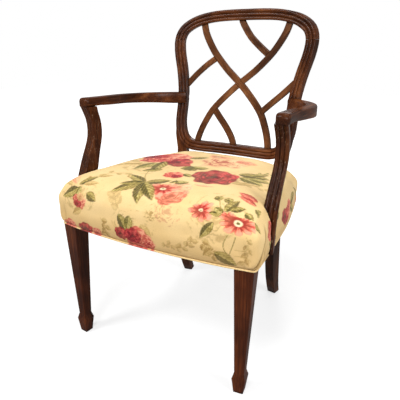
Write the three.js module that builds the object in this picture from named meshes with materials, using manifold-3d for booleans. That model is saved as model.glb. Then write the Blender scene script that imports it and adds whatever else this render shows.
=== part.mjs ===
// Open-back carver armchair: a moulded shield back with an interlaced lattice, sabre rear legs,
// tapered front legs on spade feet, shaped arms on swept supports and an over-upholstered seat.
// Millimetres, +Z up, the sitter faces -Y, +X is the right-hand side seen from the front.

import * as THREE from 'three';
import { mergeVertices } from 'three/addons/utils/BufferGeometryUtils.js';
import Module from 'manifold-3d';

const wasm = await Module();
wasm.setup();

// Clearances
const FIT_GAP = 0.3;
const CLOTH_GAP = 0.7;
const CUT_REACH = 2000;

// Back frame: heights are above the floor, half widths are from the centre plane
const CREST_Z = 939.5;
const BACK_RAIL_DROP = 1.5;
const SHIELD_HALF_WIDTH = 228.5;
const CREST_HEIGHT = 33.5;
const POST_WIDTH = 34;
const BACK_RAIL_HEIGHT = 32.5;
const BACK_DEPTH = 23;
const BACK_DISH = 27.5;
const CREST_JOINT_DROP = 77;
const BACK_RAIL_JOINT_INSET = 48.5;
const REED_DEPTH = 2.6;
const EDGE_EASE = 1.6;

// Rake of the back: how far its centre line stands behind the middle of the chair
const CREST_Y = 354;
const KNEE_Y = 218;
const KNEE_Z = 330;
const REAR_FOOT_Y = 276;

// Rear legs
const REAR_FOOT_STEP = 22.5;
const REAR_LEG_STEP = 19.5;
const WAIST_STEP = 17.5;
const REAR_FOOT_SIZE = 30;
const REAR_LEG_SIZE = 34;
const REAR_LEG_DEPTH = 44;
const LEG_SET_BACK = 3;
const FOOT_BEVEL = 3;

// Lattice
const LATH_WIDTH = 20.5;
const SHORT_LATH_WIDTH = 19.5;
const LATH_DEPTH = 11.5;
const LATH_SET_BACK = 7.5;
const LATH_EASE = 1.2;
const LATH_TENON_WIDTH = 10;
const LATH_TENON_DEPTH = 5;

// Joints of the back frame
const POST_TENON_WIDTH = 14;
const POST_TENON_DEPTH = 8;
const POST_TENON_LENGTH = 17;

// Arms
const ARM_HALF_SPAN = 303;
const ARM_SET_BACK = 145;
const ARM_WIDTH = 34;
const ARM_END_WIDTH = 29;
const ARM_RISE = 191.5;
const ARM_THICKNESS = 25.5;
const ARM_TOP_DROP = 13;
const ARM_UNDERSIDE_DROP = 24;
const ARM_END_SINK = 11;
const ARM_NOSE = 14;

// Arm supports
const SUPPORT_FOOT_PROUD = 12;
const SUPPORT_TOP_PROUD = 8;
const SUPPORT_FOOT_RISE = 14;
const SUPPORT_WIDTH = 32;
const SUPPORT_ROOT_WIDTH = 34;
const SUPPORT_DEPTH = 31.5;
const SUPPORT_ROOT_DEPTH = 44;
const SUPPORT_SWEEP = 70;
const SUPPORT_SET_BACK = 23;
const SUPPORT_TURN = 14;
const SUPPORT_TENON_RADIUS = 8;
const SUPPORT_TENON_LENGTH = 14;

// Front legs
const FRONT_LEG_INSET = 32;
const FRONT_LEG_SET_BACK = 27.7;
const FRONT_FOOT_STEP_IN = 4;
const FRONT_FOOT_STEP_OUT = 5.5;
const FRONT_LEG_SIZE = 48.5;
const FRONT_LEG_BLOCK = 41;
const ANKLE_SIZE = 26.5;
const ANKLE_Z = 62;
const SPADE_SIZE = 36;
const SPADE_Z = 44;
const SPADE_BASE = 26;
const FRONT_LEG_TURN = 7;
const FRONT_LEG_BELOW_RAIL = 2.8;

// Seat frame
const RAIL_BOTTOM_Z = 364;
const RAIL_HEIGHT = 66;
const RAIL_THICKNESS = 26;
const RAIL_INSET = 5.5;
const SIDE_RAIL_FRONT_THICKNESS = 34;
const SIDE_RAIL_REAR_STEP = 13;
const REAR_RAIL_THICKNESS = 28;
const RAIL_TENON_LENGTH = 14;
const RAIL_TENON_THICKNESS = 10;
const RAIL_TENON_HEIGHT = 44;
const BLOCK_LEG = 62;
const BLOCK_HEIGHT = 38;

// Fasteners
const SCREW_HEAD_RADIUS = 4.2;
const SCREW_SHANK_RADIUS = 2.1;
const SCREW_HEAD_HEIGHT = 2.6;
const BLOCK_SCREW_LENGTH = 34;
const SUPPORT_SCREW_LENGTH = 48;
const SUPPORT_SCREW_GAP = 34;
const SUPPORT_SCREW_REACH = 20;
const ARM_SCREW_LENGTH = 38;
const ARM_SCREW_TURN = 22;
const PLUG_RADIUS = 5;
const PLUG_LENGTH = 6;

// Upholstery
const SEAT_HALF_WIDTH = 299;
const SEAT_FRONT_Y = 260;
const SEAT_CORNER_OVERHANG = 62;
const SEAT_REAR_OVERHANG = 36;
const COVER_BOTTOM_RISE = 3.4;
const COVER_THICKNESS = 3;
const SEAT_BULGE = 10;
const BULGE_RISE = 16;
const SHOULDER_RISE = 56;
const CROWN_RISE = 83;
const SEAT_CORNER_DROP = 16;
const WELT_RADIUS = 2.6;
const WEBBING_WIDTH = 50;
const WEBBING_THICKNESS = 1.2;
const WEBBING_WAVE = 0.9;
const WEBBING_LAP = 16;
const HESSIAN_THICKNESS = 0.8;
const HESSIAN_INSET = 14;
const DUST_COVER_THICKNESS = 0.6;
const DUST_COVER_INSET = 12;

// Colours
const MAHOGANY = new THREE.MeshStandardMaterial({ color: 0x4a2418, roughness: 0.35, metalness: 0 });
const LATH_WOOD = new THREE.MeshStandardMaterial({ color: 0x5c3120, roughness: 0.35, metalness: 0 });
const BEECH = new THREE.MeshStandardMaterial({ color: 0xb08a5a, roughness: 0.7, metalness: 0 });
const FLORAL = new THREE.MeshStandardMaterial({ color: 0xf2dca0, roughness: 0.9, metalness: 0 });
const WELT_CLOTH = new THREE.MeshStandardMaterial({ color: 0xf0dcaa, roughness: 0.9, metalness: 0 });
const JUTE = new THREE.MeshStandardMaterial({ color: 0x9a7c50, roughness: 0.95, metalness: 0 });
const WADDING = new THREE.MeshStandardMaterial({ color: 0xe8e2d4, roughness: 1, metalness: 0 });
const BLACK_CLOTH = new THREE.MeshStandardMaterial({ color: 0x1c1a19, roughness: 1, metalness: 0 });
const STEEL = new THREE.MeshStandardMaterial({ color: 0x9a9890, roughness: 0.4, metalness: 1 });

const DEGREE = Math.PI / 180;
const chair = new THREE.Group();

// Heights and places that follow from the seat frame
const railTopZ = RAIL_BOTTOM_Z + RAIL_HEIGHT;
const frontLegTopZ = RAIL_BOTTOM_Z - FRONT_LEG_BELOW_RAIL;
const supportFootZ = RAIL_BOTTOM_Z + SUPPORT_FOOT_RISE;
const coverBottomZ = RAIL_BOTTOM_Z + COVER_BOTTOM_RISE;
const bulgeZ = railTopZ + BULGE_RISE;
const shoulderZ = railTopZ + SHOULDER_RISE;
const crownZ = railTopZ + CROWN_RISE;
const backRailZ = crownZ - BACK_RAIL_DROP;
const armFrontZ = crownZ + ARM_RISE;
const armFrontY = SEAT_FRONT_Y - ARM_SET_BACK;

// A smooth value through a list of [place, value] pairs, flat beyond both ends
function curveThrough(pairs) {
  const last = pairs.length - 1;
  const slope = (i) => {
    const before = pairs[Math.max(i - 1, 0)];
    const after = pairs[Math.min(i + 1, last)];
    return (after[1] - before[1]) / (after[0] - before[0]);
  };
  return (place) => {
    if (place <= pairs[0][0]) return pairs[0][1];
    if (place >= pairs[last][0]) return pairs[last][1];
    const i = pairs.findIndex((pair) => pair[0] > place) - 1;
    const span = pairs[i + 1][0] - pairs[i][0];
    const t = (place - pairs[i][0]) / span;
    const rise = pairs[i + 1][1] - pairs[i][1];
    const ease = t * t * (3 - 2 * t);
    const lead = t * (1 - t) * (1 - t) * slope(i) * span;
    const trail = t * t * (1 - t) * slope(i + 1) * span;
    return pairs[i][1] + ease * rise + lead - trail;
  };
}

// A closed skin over rings of points; the ends are capped unless the rings close on themselves
function loft(rings, closed = false) {
  const count = rings[0].length;
  const positions = rings.flat(2);
  const indices = [];
  const bands = closed ? rings.length : rings.length - 1;
  for (let i = 0; i < bands; i += 1) {
    const here = i * count;
    const there = ((i + 1) % rings.length) * count;
    for (let j = 0; j < count; j += 1) {
      const k = (j + 1) % count;
      indices.push(here + j, here + k, there + k, here + j, there + k, there + j);
    }
  }
  if (!closed) {
    for (const [ring, start, flip] of [[rings[0], 0, true], [rings[rings.length - 1], bands * count, false]]) {
      const middle = [0, 1, 2].map((axis) => ring.reduce((sum, point) => sum + point[axis], 0) / count);
      const centre = positions.length / 3;
      positions.push(...middle);
      for (let j = 0; j < count; j += 1) {
        const k = (j + 1) % count;
        if (flip) indices.push(start + k, start + j, centre);
        else indices.push(start + j, start + k, centre);
      }
    }
  }
  const geometry = new THREE.BufferGeometry();
  geometry.setAttribute('position', new THREE.Float32BufferAttribute(positions, 3));
  geometry.setIndex(indices);
  return facingOut(geometry);
}

// Turns every face over when the skin encloses a negative volume
function facingOut(geometry) {
  const at = geometry.attributes.position;
  const index = geometry.index.array;
  const corner = [0, 1, 2].map(() => new THREE.Vector3());
  let volume = 0;
  for (let i = 0; i < index.length; i += 3) {
    corner.forEach((point, j) => point.fromBufferAttribute(at, index[i + j]));
    volume += corner[0].dot(corner[1].clone().cross(corner[2]));
  }
  if (volume < 0) geometry.setIndex(Array.from(index).reverse());
  return geometry;
}

// Solids that can be joined and cut
function toSolid(geometry) {
  const bare = geometry.clone();
  bare.deleteAttribute('normal');
  bare.deleteAttribute('uv');
  const merged = mergeVertices(bare);
  const vertProperties = new Float32Array(merged.attributes.position.array);
  const triVerts = new Uint32Array(merged.index.array);
  return new wasm.Manifold(new wasm.Mesh({ numProp: 3, vertProperties, triVerts }));
}

function fromSolid(solid) {
  const mesh = solid.getMesh();
  const geometry = new THREE.BufferGeometry();
  geometry.setAttribute('position', new THREE.BufferAttribute(mesh.vertProperties, 3));
  geometry.setIndex(new THREE.BufferAttribute(mesh.triVerts, 1));
  return geometry;
}

function cutBy(solid, cutters) {
  return cutters.reduce((left, cutter) => left.subtract(cutter), solid);
}

function boxSolid(low, high) {
  const size = high.map((value, axis) => value - low[axis]);
  const middle = high.map((value, axis) => (value + low[axis]) / 2);
  return toSolid(new THREE.BoxGeometry(...size).translate(...middle));
}

// A round bar or countersunk screw along an axis, as a profile of [along, radius] pairs
function turned(profile, from, direction, sides) {
  const points = profile.map(([along, radius]) => new THREE.Vector2(radius, along));
  const geometry = new THREE.LatheGeometry(points, sides);
  const up = new THREE.Vector3(0, 1, 0);
  const turn = new THREE.Quaternion().setFromUnitVectors(up, new THREE.Vector3(...direction).normalize());
  return geometry.applyQuaternion(turn).translate(...from);
}

function add(name, geometry, material) {
  const solidOnly = geometry.index ? geometry.toNonIndexed() : geometry;
  const placed = mergeVertices(new THREE.BufferGeometry().setAttribute('position', solidOnly.attributes.position));
  placed.computeVertexNormals();
  const mesh = new THREE.Mesh(placed, material);
  mesh.name = name;
  chair.add(mesh);
}

// The left-hand copy of a solid built on the right
function mirrored(solid) {
  return solid.mirror([1, 0, 0]);
}

const SIDES = [['right', (solid) => solid], ['left', mirrored]];

// Surface of the back: raked by the post's profile and hollowed across for the sitter
const RAKE_shares = [[0, 0], [0.082, 0.043], [0.164, 0.13], [0.274, 0.243], [0.443, 0.436], [0.607, 0.615],
  [0.771, 0.787], [1, 1]];
const SABRE_shares = [[0, 1], [0.12, 0.68], [0.24, 0.43], [0.45, 0.17], [0.7, 0.03]];
const rakeY = curveThrough([
  ...SABRE_shares.map(([height, reach]) => [height * KNEE_Z, KNEE_Y + reach * (REAR_FOOT_Y - KNEE_Y)]),
  ...RAKE_shares.map(([height, reach]) => [KNEE_Z + height * (CREST_Z - KNEE_Z), KNEE_Y + reach * (CREST_Y - KNEE_Y)]),
]);

function backY(x, z) {
  return rakeY(z) - BACK_DISH * (x / SHIELD_HALF_WIDTH) ** 2;
}

// Sections, as [across, depth] points: a reeded face with two grooves, and a plain eased bar
const REED_shares = [[-1, 1], [-0.88, 0.25], [-0.66, 0], [-0.44, 0.25], [-0.33, 1], [-0.22, 0.25], [0, 0],
  [0.22, 0.25], [0.33, 1], [0.44, 0.25], [0.66, 0], [0.88, 0.25], [1, 1]];

function reededSection(width, depth) {
  const face = REED_shares.map(([across, deep]) => [across * width / 2, deep * REED_DEPTH]);
  return [...face, [width / 2, depth], [-width / 2, depth]];
}

function plainSection(width, depth, ease) {
  const half = width / 2;
  return [[-half, ease], [ease - half, 0], [half - ease, 0], [half, ease],
    [half, depth - ease], [half - ease, depth], [ease - half, depth], [-half, depth - ease]];
}

function clearSection(width, depth, gap) {
  const half = width / 2 + gap;
  return [[-half, -gap], [half, -gap], [half, depth + gap], [-half, depth + gap]];
}

// One ring of a back member: a section set across a line of the back, its depth square to the hollow
function backRing(x, z, acrossX, acrossZ, section, setBack) {
  const lean = 2 * BACK_DISH * x / SHIELD_HALF_WIDTH ** 2;
  const square = Math.hypot(1, lean);
  return section.map(([across, deep]) => {
    const px = x + across * acrossX;
    const pz = z + across * acrossZ;
    const behind = (setBack + deep) / square;
    return [px + behind * lean, backY(px, pz) + behind, pz];
  });
}

// Centre line of the shield, from the middle of the crest down the right side to the middle of the back
// rail: [half width, height, then which of crest, post and rail gives the width of the member]
const SHIELD_shares = [[0, 1, 'crest'], [0.24, 0.999, 'crest'], [0.45, 0.993, 'crest'], [0.613, 0.98, 'crest'],
  [0.745, 0.961, 'crest'], [0.86, 0.931, 'post'], [0.946, 0.893, 'post'], [0.99, 0.845, 'post'],
  [1, 0.79, 'post'], [0.975, 0.7, 'post'], [0.931, 0.61, 'post'], [0.892, 0.51, 'post'], [0.867, 0.41, 'post'],
  [0.86, 0.3, 'post'], [0.86, 0.2, 'post'], [0.844, 0.14, 'post'], [0.814, 0.09, 'post'],
  [0.77, 0.05, 'rail'], [0.68, 0.014, 'rail'], [0.56, 0.002, 'rail'], [0.28, 0, 'rail'], [0, 0, 'rail']];
const MEMBER_WIDTH = { crest: CREST_HEIGHT, post: POST_WIDTH, rail: BACK_RAIL_HEIGHT };
const SHIELD_STEPS = 2;

function shieldPoint([side, height, member], sign) {
  const z = backRailZ + height * (CREST_Z - backRailZ);
  return new THREE.Vector3(sign * side * SHIELD_HALF_WIDTH, z, MEMBER_WIDTH[member]);
}

function shieldLoop(sectionFor) {
  const right = SHIELD_shares.map((share) => shieldPoint(share, 1));
  const left = SHIELD_shares.slice(1, -1).reverse().map((share) => shieldPoint(share, -1));
  const line = new THREE.CatmullRomCurve3([...right, ...left], true, 'centripetal');
  const count = line.points.length * SHIELD_STEPS;
  const rings = [];
  for (let i = 0; i < count; i += 1) {
    const here = line.getPoint(i / count);
    const along = line.getTangent(i / count).setZ(0).normalize();
    rings.push(backRing(here.x, here.y, along.y, -along.x, sectionFor(here.z), 0));
  }
  return toSolid(loft(rings, true));
}

const shield = shieldLoop((width) => reededSection(width, BACK_DEPTH));
const shieldClear = shieldLoop((width) => clearSection(width, BACK_DEPTH, FIT_GAP));
const crestJointZ = CREST_Z - CREST_JOINT_DROP;
const latticeZ = (CREST_Z + backRailZ) / 2;
const latticeReach = (CREST_Z - backRailZ) / 2;

// Rear leg, from the floor to where it runs up inside the moulded post
const LEG_TOP_RISE = 86;
const rearLegTopZ = backRailZ + LEG_TOP_RISE;
const postPairs = SHIELD_shares.filter((share) => share[2] === 'post').reverse().map(([side, height]) => [
  backRailZ + height * (CREST_Z - backRailZ), side * SHIELD_HALF_WIDTH]);
const postCentreX = curveThrough(postPairs);
const postX = postCentreX(rearLegTopZ);
const seatLegX = postX - REAR_LEG_STEP;
const waistX = postX - WAIST_STEP;
const rearLegX = curveThrough([[0, postX - REAR_FOOT_STEP], [railTopZ, seatLegX],
  [backRailZ - BACK_RAIL_HEIGHT / 2, waistX], [backRailZ + LEG_TOP_RISE * 0.45, postX - WAIST_STEP / 5],
  [rearLegTopZ, postX]]);
const REAR_LEG_WIDTH_shares = [[0, 0], [0.7, 1], [0.83, 1], [0.92, 0.94], [1, 0.86]];
const rearLegWidth = curveThrough([[0, REAR_FOOT_SIZE],
  ...REAR_LEG_WIDTH_shares.slice(1).map(([height, size]) => [height * rearLegTopZ, size * REAR_LEG_SIZE])]);
const REAR_LEG_DEPTH_shares = [[0, 0.7], [0.07, 0.8], [0.14, 0.91], [0.25, 1], [0.7, 1], [0.78, 0.85], [0.84, 0.6],
  [0.9, 0.42], [1, 0.4]];
const rearLegDepth = curveThrough(
  REAR_LEG_DEPTH_shares.map(([height, size]) => [height * rearLegTopZ, size * REAR_LEG_DEPTH]));
const REAR_LEG_STATION_shares = [0.06, 0.12, 0.18, 0.25, 0.34, 0.42, 0.49, 0.55, 0.6, 0.65, 0.7, 0.75, 0.8, 0.84, 0.88,
  0.92, 0.96, 1];

function rearLeg(gap, lowest = 0) {
  const heights = [0, FOOT_BEVEL, ...REAR_LEG_STATION_shares.map((share) => share * rearLegTopZ)]
    .filter((z) => z >= lowest);
  const rings = heights.map((z) => {
    const bevel = z === 0 && gap === 0 ? FOOT_BEVEL : 0;
    const width = rearLegWidth(z) - 2 * bevel;
    const depth = rearLegDepth(z) - 2 * bevel;
    const section = gap > 0 ? clearSection(width, depth, gap) : plainSection(width, depth, EDGE_EASE);
    return backRing(rearLegX(z), z, 1, 0, section, LEG_SET_BACK + bevel);
  });
  return toSolid(loft(rings));
}

const postClear = rearLeg(FIT_GAP).add(shieldClear);

// Everything inside the centre line of the shield, from in front of the back to behind it
function insideShield() {
  const right = SHIELD_shares.map((share) => shieldPoint(share, 1));
  const left = SHIELD_shares.slice(1, -1).reverse().map((share) => shieldPoint(share, -1));
  const outline = new THREE.Shape([...right, ...left].map((point) => new THREE.Vector2(point.x, point.y)));
  const block = new THREE.ExtrudeGeometry(outline, { depth: CUT_REACH, bevelEnabled: false });
  return toSolid(block.rotateX(Math.PI / 2).translate(0, CUT_REACH, 0));
}

const shieldInside = insideShield();

// Lattice: each lath is a bar along a curve given in shares of the shield's half width and half height
const LONG_LATH_shares = [[0.66, 0.927], [0.645, 0.866], [0.613, 0.749], [0.543, 0.608], [0.452, 0.462],
  [0.357, 0.345], [0.209, 0.185], [0, 0], [-0.187, -0.19], [-0.291, -0.307], [-0.387, -0.434], [-0.457, -0.575],
  [-0.517, -0.725], [-0.557, -0.876], [-0.57, -0.979]];
const UPPER_MIDDLE_shares = [[-0.087, 0.974], [-0.065, 0.904], [-0.004, 0.805], [0.091, 0.678], [0.213, 0.566],
  [0.304, 0.491], [0.409, 0.411]];
const LOWER_MIDDLE_shares = [[-0.362, -0.402], [-0.243, -0.547], [-0.143, -0.664], [-0.057, -0.782], [0, -0.885],
  [0.026, -0.974]];
const LEFT_BRANCH_shares = [[-0.843, -0.068], [-0.796, -0.012], [-0.709, 0.096], [-0.596, 0.214], [-0.496, 0.303],
  [-0.396, 0.376]];
const RIGHT_BRANCH_shares = [[0.374, -0.42], [0.522, -0.27], [0.665, -0.134], [0.757, -0.04], [0.839, 0.049]];
const LATH_STEPS = 2;

function lathLine(shares) {
  const points = shares.map(([side, height]) => new THREE.Vector3(
    side * SHIELD_HALF_WIDTH, latticeZ + height * latticeReach, 0));
  return new THREE.CatmullRomCurve3(points, false, 'centripetal');
}

// A bar along part of a lattice line; the ends can be run out by a small length
function bar(line, from, to, section, setBack, runOut) {
  const steps = Math.max(2, Math.round((to - from) * (line.points.length - 1) * LATH_STEPS));
  const rings = [];
  for (let i = 0; i <= steps; i += 1) {
    const t = from + (to - from) * i / steps;
    const along = line.getTangent(t).normalize();
    const end = i === 0 ? -runOut : runOut;
    const shift = i === 0 || i === steps ? end : 0;
    const here = line.getPoint(t).addScaledVector(along, shift);
    rings.push(backRing(here.x, here.y, along.y, -along.x, section, setBack));
  }
  return toSolid(loft(rings));
}

function lathBody(line, width) {
  return bar(line, 0, 1, plainSection(width, LATH_DEPTH, LATH_EASE), LATH_SET_BACK, 0).intersect(shieldInside);
}

function lathClear(line, width) {
  return bar(line, 0, 1, clearSection(width, LATH_DEPTH, FIT_GAP), LATH_SET_BACK, 0);
}

// Stub tenons at both ends of a lath, or, run out by the gap, the mortises that take them
function lathTenons(line, gap) {
  const reach = 1 / (line.points.length - 1);
  const setBack = LATH_SET_BACK + (LATH_DEPTH - LATH_TENON_DEPTH) / 2;
  const section = clearSection(LATH_TENON_WIDTH, LATH_TENON_DEPTH, gap);
  return [bar(line, 0, reach * 2, section, setBack, gap), bar(line, 1 - reach * 2, 1, section, setBack, gap)];
}

const mirroredShares = (shares) => shares.map(([side, height]) => [-side, height]);
const risingLine = lathLine(LONG_LATH_shares);
const fallingLine = lathLine(mirroredShares(LONG_LATH_shares));
const shortLines = {
  lath_upper_middle: [lathLine(UPPER_MIDDLE_shares), 'rising'],
  lath_lower_middle: [lathLine(LOWER_MIDDLE_shares), 'rising'],
  lath_left_branch: [lathLine(LEFT_BRANCH_shares), 'falling'],
  lath_right_branch: [lathLine(RIGHT_BRANCH_shares), 'falling'],
};

// The two long laths are halved over each other where they cross
function halving(line, setBack, depth) {
  const middle = 7 / (line.points.length - 1);
  const span = 1.4 / (line.points.length - 1);
  return bar(line, middle - span, middle + span, clearSection(LATH_WIDTH, depth, FIT_GAP), setBack, 0);
}

const halfDepth = LATH_DEPTH / 2;
const longLaths = {
  rising: lathBody(risingLine, LATH_WIDTH)
    .subtract(halving(fallingLine, LATH_SET_BACK - halfDepth, 2 * halfDepth - FIT_GAP / 2)),
  falling: lathBody(fallingLine, LATH_WIDTH)
    .subtract(halving(risingLine, LATH_SET_BACK + halfDepth + FIT_GAP / 2, 2 * halfDepth)),
};
const shieldMortises = [risingLine, fallingLine].flatMap((line) => lathTenons(line, FIT_GAP));
const lathMortises = { rising: [], falling: [] };
for (const [line, carrier] of Object.values(shortLines)) {
  const cuts = lathTenons(line, FIT_GAP);
  shieldMortises.push(...cuts);
  lathMortises[carrier].push(...cuts);
}
for (const [name, line] of [['rising', risingLine], ['falling', fallingLine]]) {
  const tenons = lathTenons(line, 0);
  const body = cutBy(longLaths[name].subtract(shieldClear), lathMortises[name]);
  const whole = body.add(tenons[0]).add(tenons[1]);
  add(`lath_long_${name}`, fromSolid(whole), LATH_WOOD);
}
const longClear = { rising: lathClear(risingLine, LATH_WIDTH), falling: lathClear(fallingLine, LATH_WIDTH) };
for (const [name, [line, carrier]] of Object.entries(shortLines)) {
  const tenons = lathTenons(line, 0);
  const body = lathBody(line, SHORT_LATH_WIDTH).subtract(shieldClear).subtract(longClear[carrier]);
  add(name, fromSolid(body.add(tenons[0]).add(tenons[1])), LATH_WOOD);
}

// Crest rail: the top of the shield, mortised for the posts and the laths
function postTenon(gap) {
  const middleZ = crestJointZ + POST_TENON_LENGTH / 2;
  const x = postCentreX(middleZ);
  const y = backY(x, middleZ) + (BACK_DEPTH + REED_DEPTH) / 2;
  const half = POST_TENON_WIDTH / 2 + gap;
  const thick = POST_TENON_DEPTH / 2 + gap;
  return boxSolid([x - half, y - thick, crestJointZ - POST_TENON_LENGTH / 2],
    [x + half, y + thick, crestJointZ + POST_TENON_LENGTH + gap]);
}

const aboveJoint = boxSolid([-CUT_REACH, -CUT_REACH, crestJointZ + FIT_GAP / 2], [CUT_REACH, CUT_REACH, CUT_REACH]);
const crestBody = shield.intersect(aboveJoint);
const postMortise = postTenon(FIT_GAP);
add('crest_rail', fromSolid(cutBy(crestBody, [postMortise, mirrored(postMortise), ...shieldMortises])), MAHOGANY);

// Lower back rail: the foot of the shield, tenoned into the posts
const railJointX = postX - BACK_RAIL_JOINT_INSET;

function backRailTenon(gap) {
  const y = backY(railJointX, backRailZ) + (BACK_DEPTH + REED_DEPTH) / 2;
  const half = POST_TENON_WIDTH / 2 + gap;
  const thick = POST_TENON_DEPTH / 2 + gap;
  return boxSolid([railJointX - POST_TENON_LENGTH / 2, y - thick, backRailZ - half],
    [railJointX + POST_TENON_LENGTH * 0.8 + gap, y + thick, backRailZ + half]);
}

const railEndX = railJointX - FIT_GAP / 2;
const betweenPosts = boxSolid([-railEndX, -CUT_REACH, 0], [railEndX, CUT_REACH, latticeZ]);
const backRail = shield.intersect(betweenPosts).add(backRailTenon(0)).add(mirrored(backRailTenon(0)));
add('lower_back_rail', fromSolid(cutBy(backRail, shieldMortises)), MAHOGANY);

// Arms: a flat bar swept in plan from a rounded nose back to the front face of the post. The plan gives
// how far the line stands out, from the post to the widest place, and how far back it is
const ARM_PLAN_shares = [[0.934, 0], [0.92, 0.1], [0.92, 0.19], [0.943, 0.275], [0.971, 0.37], [0.997, 0.465],
  [0.971, 0.55], [0.92, 0.622], [0.839, 0.69], [0.73, 0.752], [0.603, 0.812], [0.448, 0.866], [0.267, 0.92],
  [0.066, 0.972], [-0.032, 1]];
const ARM_SECTION_shares = [[-0.94, 0], [0.94, 0], [1, 0.08], [1, 0.82], [0.87, 0.95], [0, 1], [-0.87, 0.95],
  [-1, 0.82], [-1, 0.08]];
const ARM_TOP_shares = [[0, 0], [0.3, 0.28], [0.6, 0.62], [0.8, 0.82], [1, 1]];
const ARM_UNDERSIDE_shares = [[0, 0], [0.13, 0], [0.23, 0.14], [0.45, 0.36], [0.62, 0.56], [0.79, 0.78], [0.93, 1]];
const armTop = curveThrough(ARM_TOP_shares);
const armUnderside = curveThrough(ARM_UNDERSIDE_shares);
const ARM_STEPS = 2;
const armJointZ = armFrontZ - (ARM_TOP_DROP + ARM_THICKNESS + ARM_UNDERSIDE_DROP) / 2;
const armPostX = postCentreX(armJointZ);
const armEndY = backY(armPostX + POST_WIDTH / 2, armJointZ) + ARM_END_SINK;
const armLength = armEndY + armFrontY;
const armLine = new THREE.CatmullRomCurve3(ARM_PLAN_shares.map(([side, back]) => new THREE.Vector3(
  armPostX + side * (ARM_HALF_SPAN - armPostX), back * armLength - armFrontY, 0)), false, 'centripetal');
const NOSE_shares = [[0, 0.5, 0.76], [0.12, 0.72, 0.87], [0.35, 0.9, 0.96], [0.7, 0.98, 1], [1, 1, 1]];

function armRing(t, shift, height, breadth) {
  const along = armLine.getTangent(t).normalize();
  const here = armLine.getPoint(t).addScaledVector(along, shift);
  const backShare = Math.min(1, (here.y + armFrontY) / armLength);
  const width = (ARM_WIDTH + (ARM_END_WIDTH - ARM_WIDTH) * backShare ** 4) * breadth;
  const underside = armFrontZ - ARM_THICKNESS - ARM_UNDERSIDE_DROP * armUnderside(backShare);
  const thickness = armFrontZ - ARM_TOP_DROP * armTop(backShare) - underside;
  return ARM_SECTION_shares.map(([across, up]) => [
    here.x + along.y * across * width / 2,
    here.y - along.x * across * width / 2,
    underside + up * thickness * height]);
}

function armBody() {
  const rings = NOSE_shares.map(([back, height, breadth]) => armRing(0, back * ARM_NOSE, height, breadth));
  const count = (armLine.points.length - 1) * ARM_STEPS;
  for (let i = 2; i <= count; i += 1) rings.push(armRing(i / count, 0, 1, 1));
  return toSolid(loft(rings));
}

// Arm support: a reeded bar swept in side view, turned a little outward, its foot let into the side rail
const armUndersideZ = armFrontZ - ARM_THICKNESS - FIT_GAP;
const supportHeight = armUndersideZ - supportFootZ;
const supportFootX = SEAT_HALF_WIDTH + SUPPORT_FOOT_PROUD;
const supportTopX = ARM_HALF_SPAN + SUPPORT_TOP_PROUD;
const SUPPORT_FRONT_shares = [[0, 1], [0.1, 0.99], [0.2, 0.94], [0.28, 0.87], [0.36, 0.76], [0.42, 0.637],
  [0.486, 0.506], [0.546, 0.366], [0.606, 0.22], [0.666, 0.094], [0.732, 0.01], [0.8, 0], [0.87, 0.04],
  [0.935, 0.157], [1, 0.29]];
const SUPPORT_DEPTH_shares = [[0, 0.86], [0.1, 0.96], [0.28, 1], [0.42, 1], [0.52, 0.62], [0.62, 0.22], [0.72, 0.04],
  [0.8, 0], [0.92, 0.06], [1, 0.4]];
const supportFront = curveThrough(SUPPORT_FRONT_shares);
const supportDepth = curveThrough(SUPPORT_DEPTH_shares);
const SUPPORT_STATIONS = 17;

// The size of the support's section at a share of its height
function supportSize(up) {
  const root = supportDepth(up);
  return [SUPPORT_WIDTH + (SUPPORT_ROOT_WIDTH - SUPPORT_WIDTH) * root,
    SUPPORT_DEPTH + (SUPPORT_ROOT_DEPTH - SUPPORT_DEPTH) * root];
}

function supportRing(up, section) {
  const z = supportFootZ + up * supportHeight;
  const turn = SUPPORT_TURN * DEGREE;
  const y = SUPPORT_SET_BACK - armFrontY - supportFront(up) * SUPPORT_SWEEP;
  const [width] = supportSize(up);
  const outerX = supportFootX + up * (supportTopX - supportFootX);
  return section.map(([across, deep]) => {
    const inward = across - width / 2;
    return [outerX + inward * Math.cos(turn) - deep * Math.sin(turn),
      y + inward * Math.sin(turn) + deep * Math.cos(turn), z];
  });
}

function supportBody(gap, highest = 1) {
  const rings = [];
  for (let i = 0; i <= SUPPORT_STATIONS * highest; i += 1) {
    const up = i / SUPPORT_STATIONS;
    const [width, depth] = supportSize(up);
    const section = gap > 0 ? clearSection(width, depth, gap) : reededSection(width, depth);
    rings.push(supportRing(up, section));
  }
  if (gap > 0) {
    rings.unshift(rings[0].map(([x, y, z]) => [x, y, z - gap]));
    rings.push(rings[rings.length - 1].map(([x, y, z]) => [x, y, z + gap]));
  }
  return toSolid(loft(rings));
}

const TENON_SIDES = 10;

function supportTenon(gap) {
  const [middle] = supportRing(1, [[0, supportSize(1)[1] / 2]]);
  const radius = SUPPORT_TENON_RADIUS + gap;
  const start = [middle[0], middle[1], armUndersideZ - SUPPORT_TENON_LENGTH];
  const length = 2 * SUPPORT_TENON_LENGTH + gap;
  return toSolid(turned([[0, 0], [0, radius], [length, radius], [length, 0]], start, [0, 0, 1], TENON_SIDES));
}

// Countersunk wood screws
function screwProfile(length) {
  return [[0, 0], [0, SCREW_HEAD_RADIUS], [SCREW_HEAD_HEIGHT, SCREW_SHANK_RADIUS],
    [length - SCREW_HEAD_HEIGHT, SCREW_SHANK_RADIUS], [length, 0]];
}

const SCREW_SIDES = 6;
const PLUG_SIDES = 8;
const HOLE_CLEARANCE = 0.5;

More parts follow.
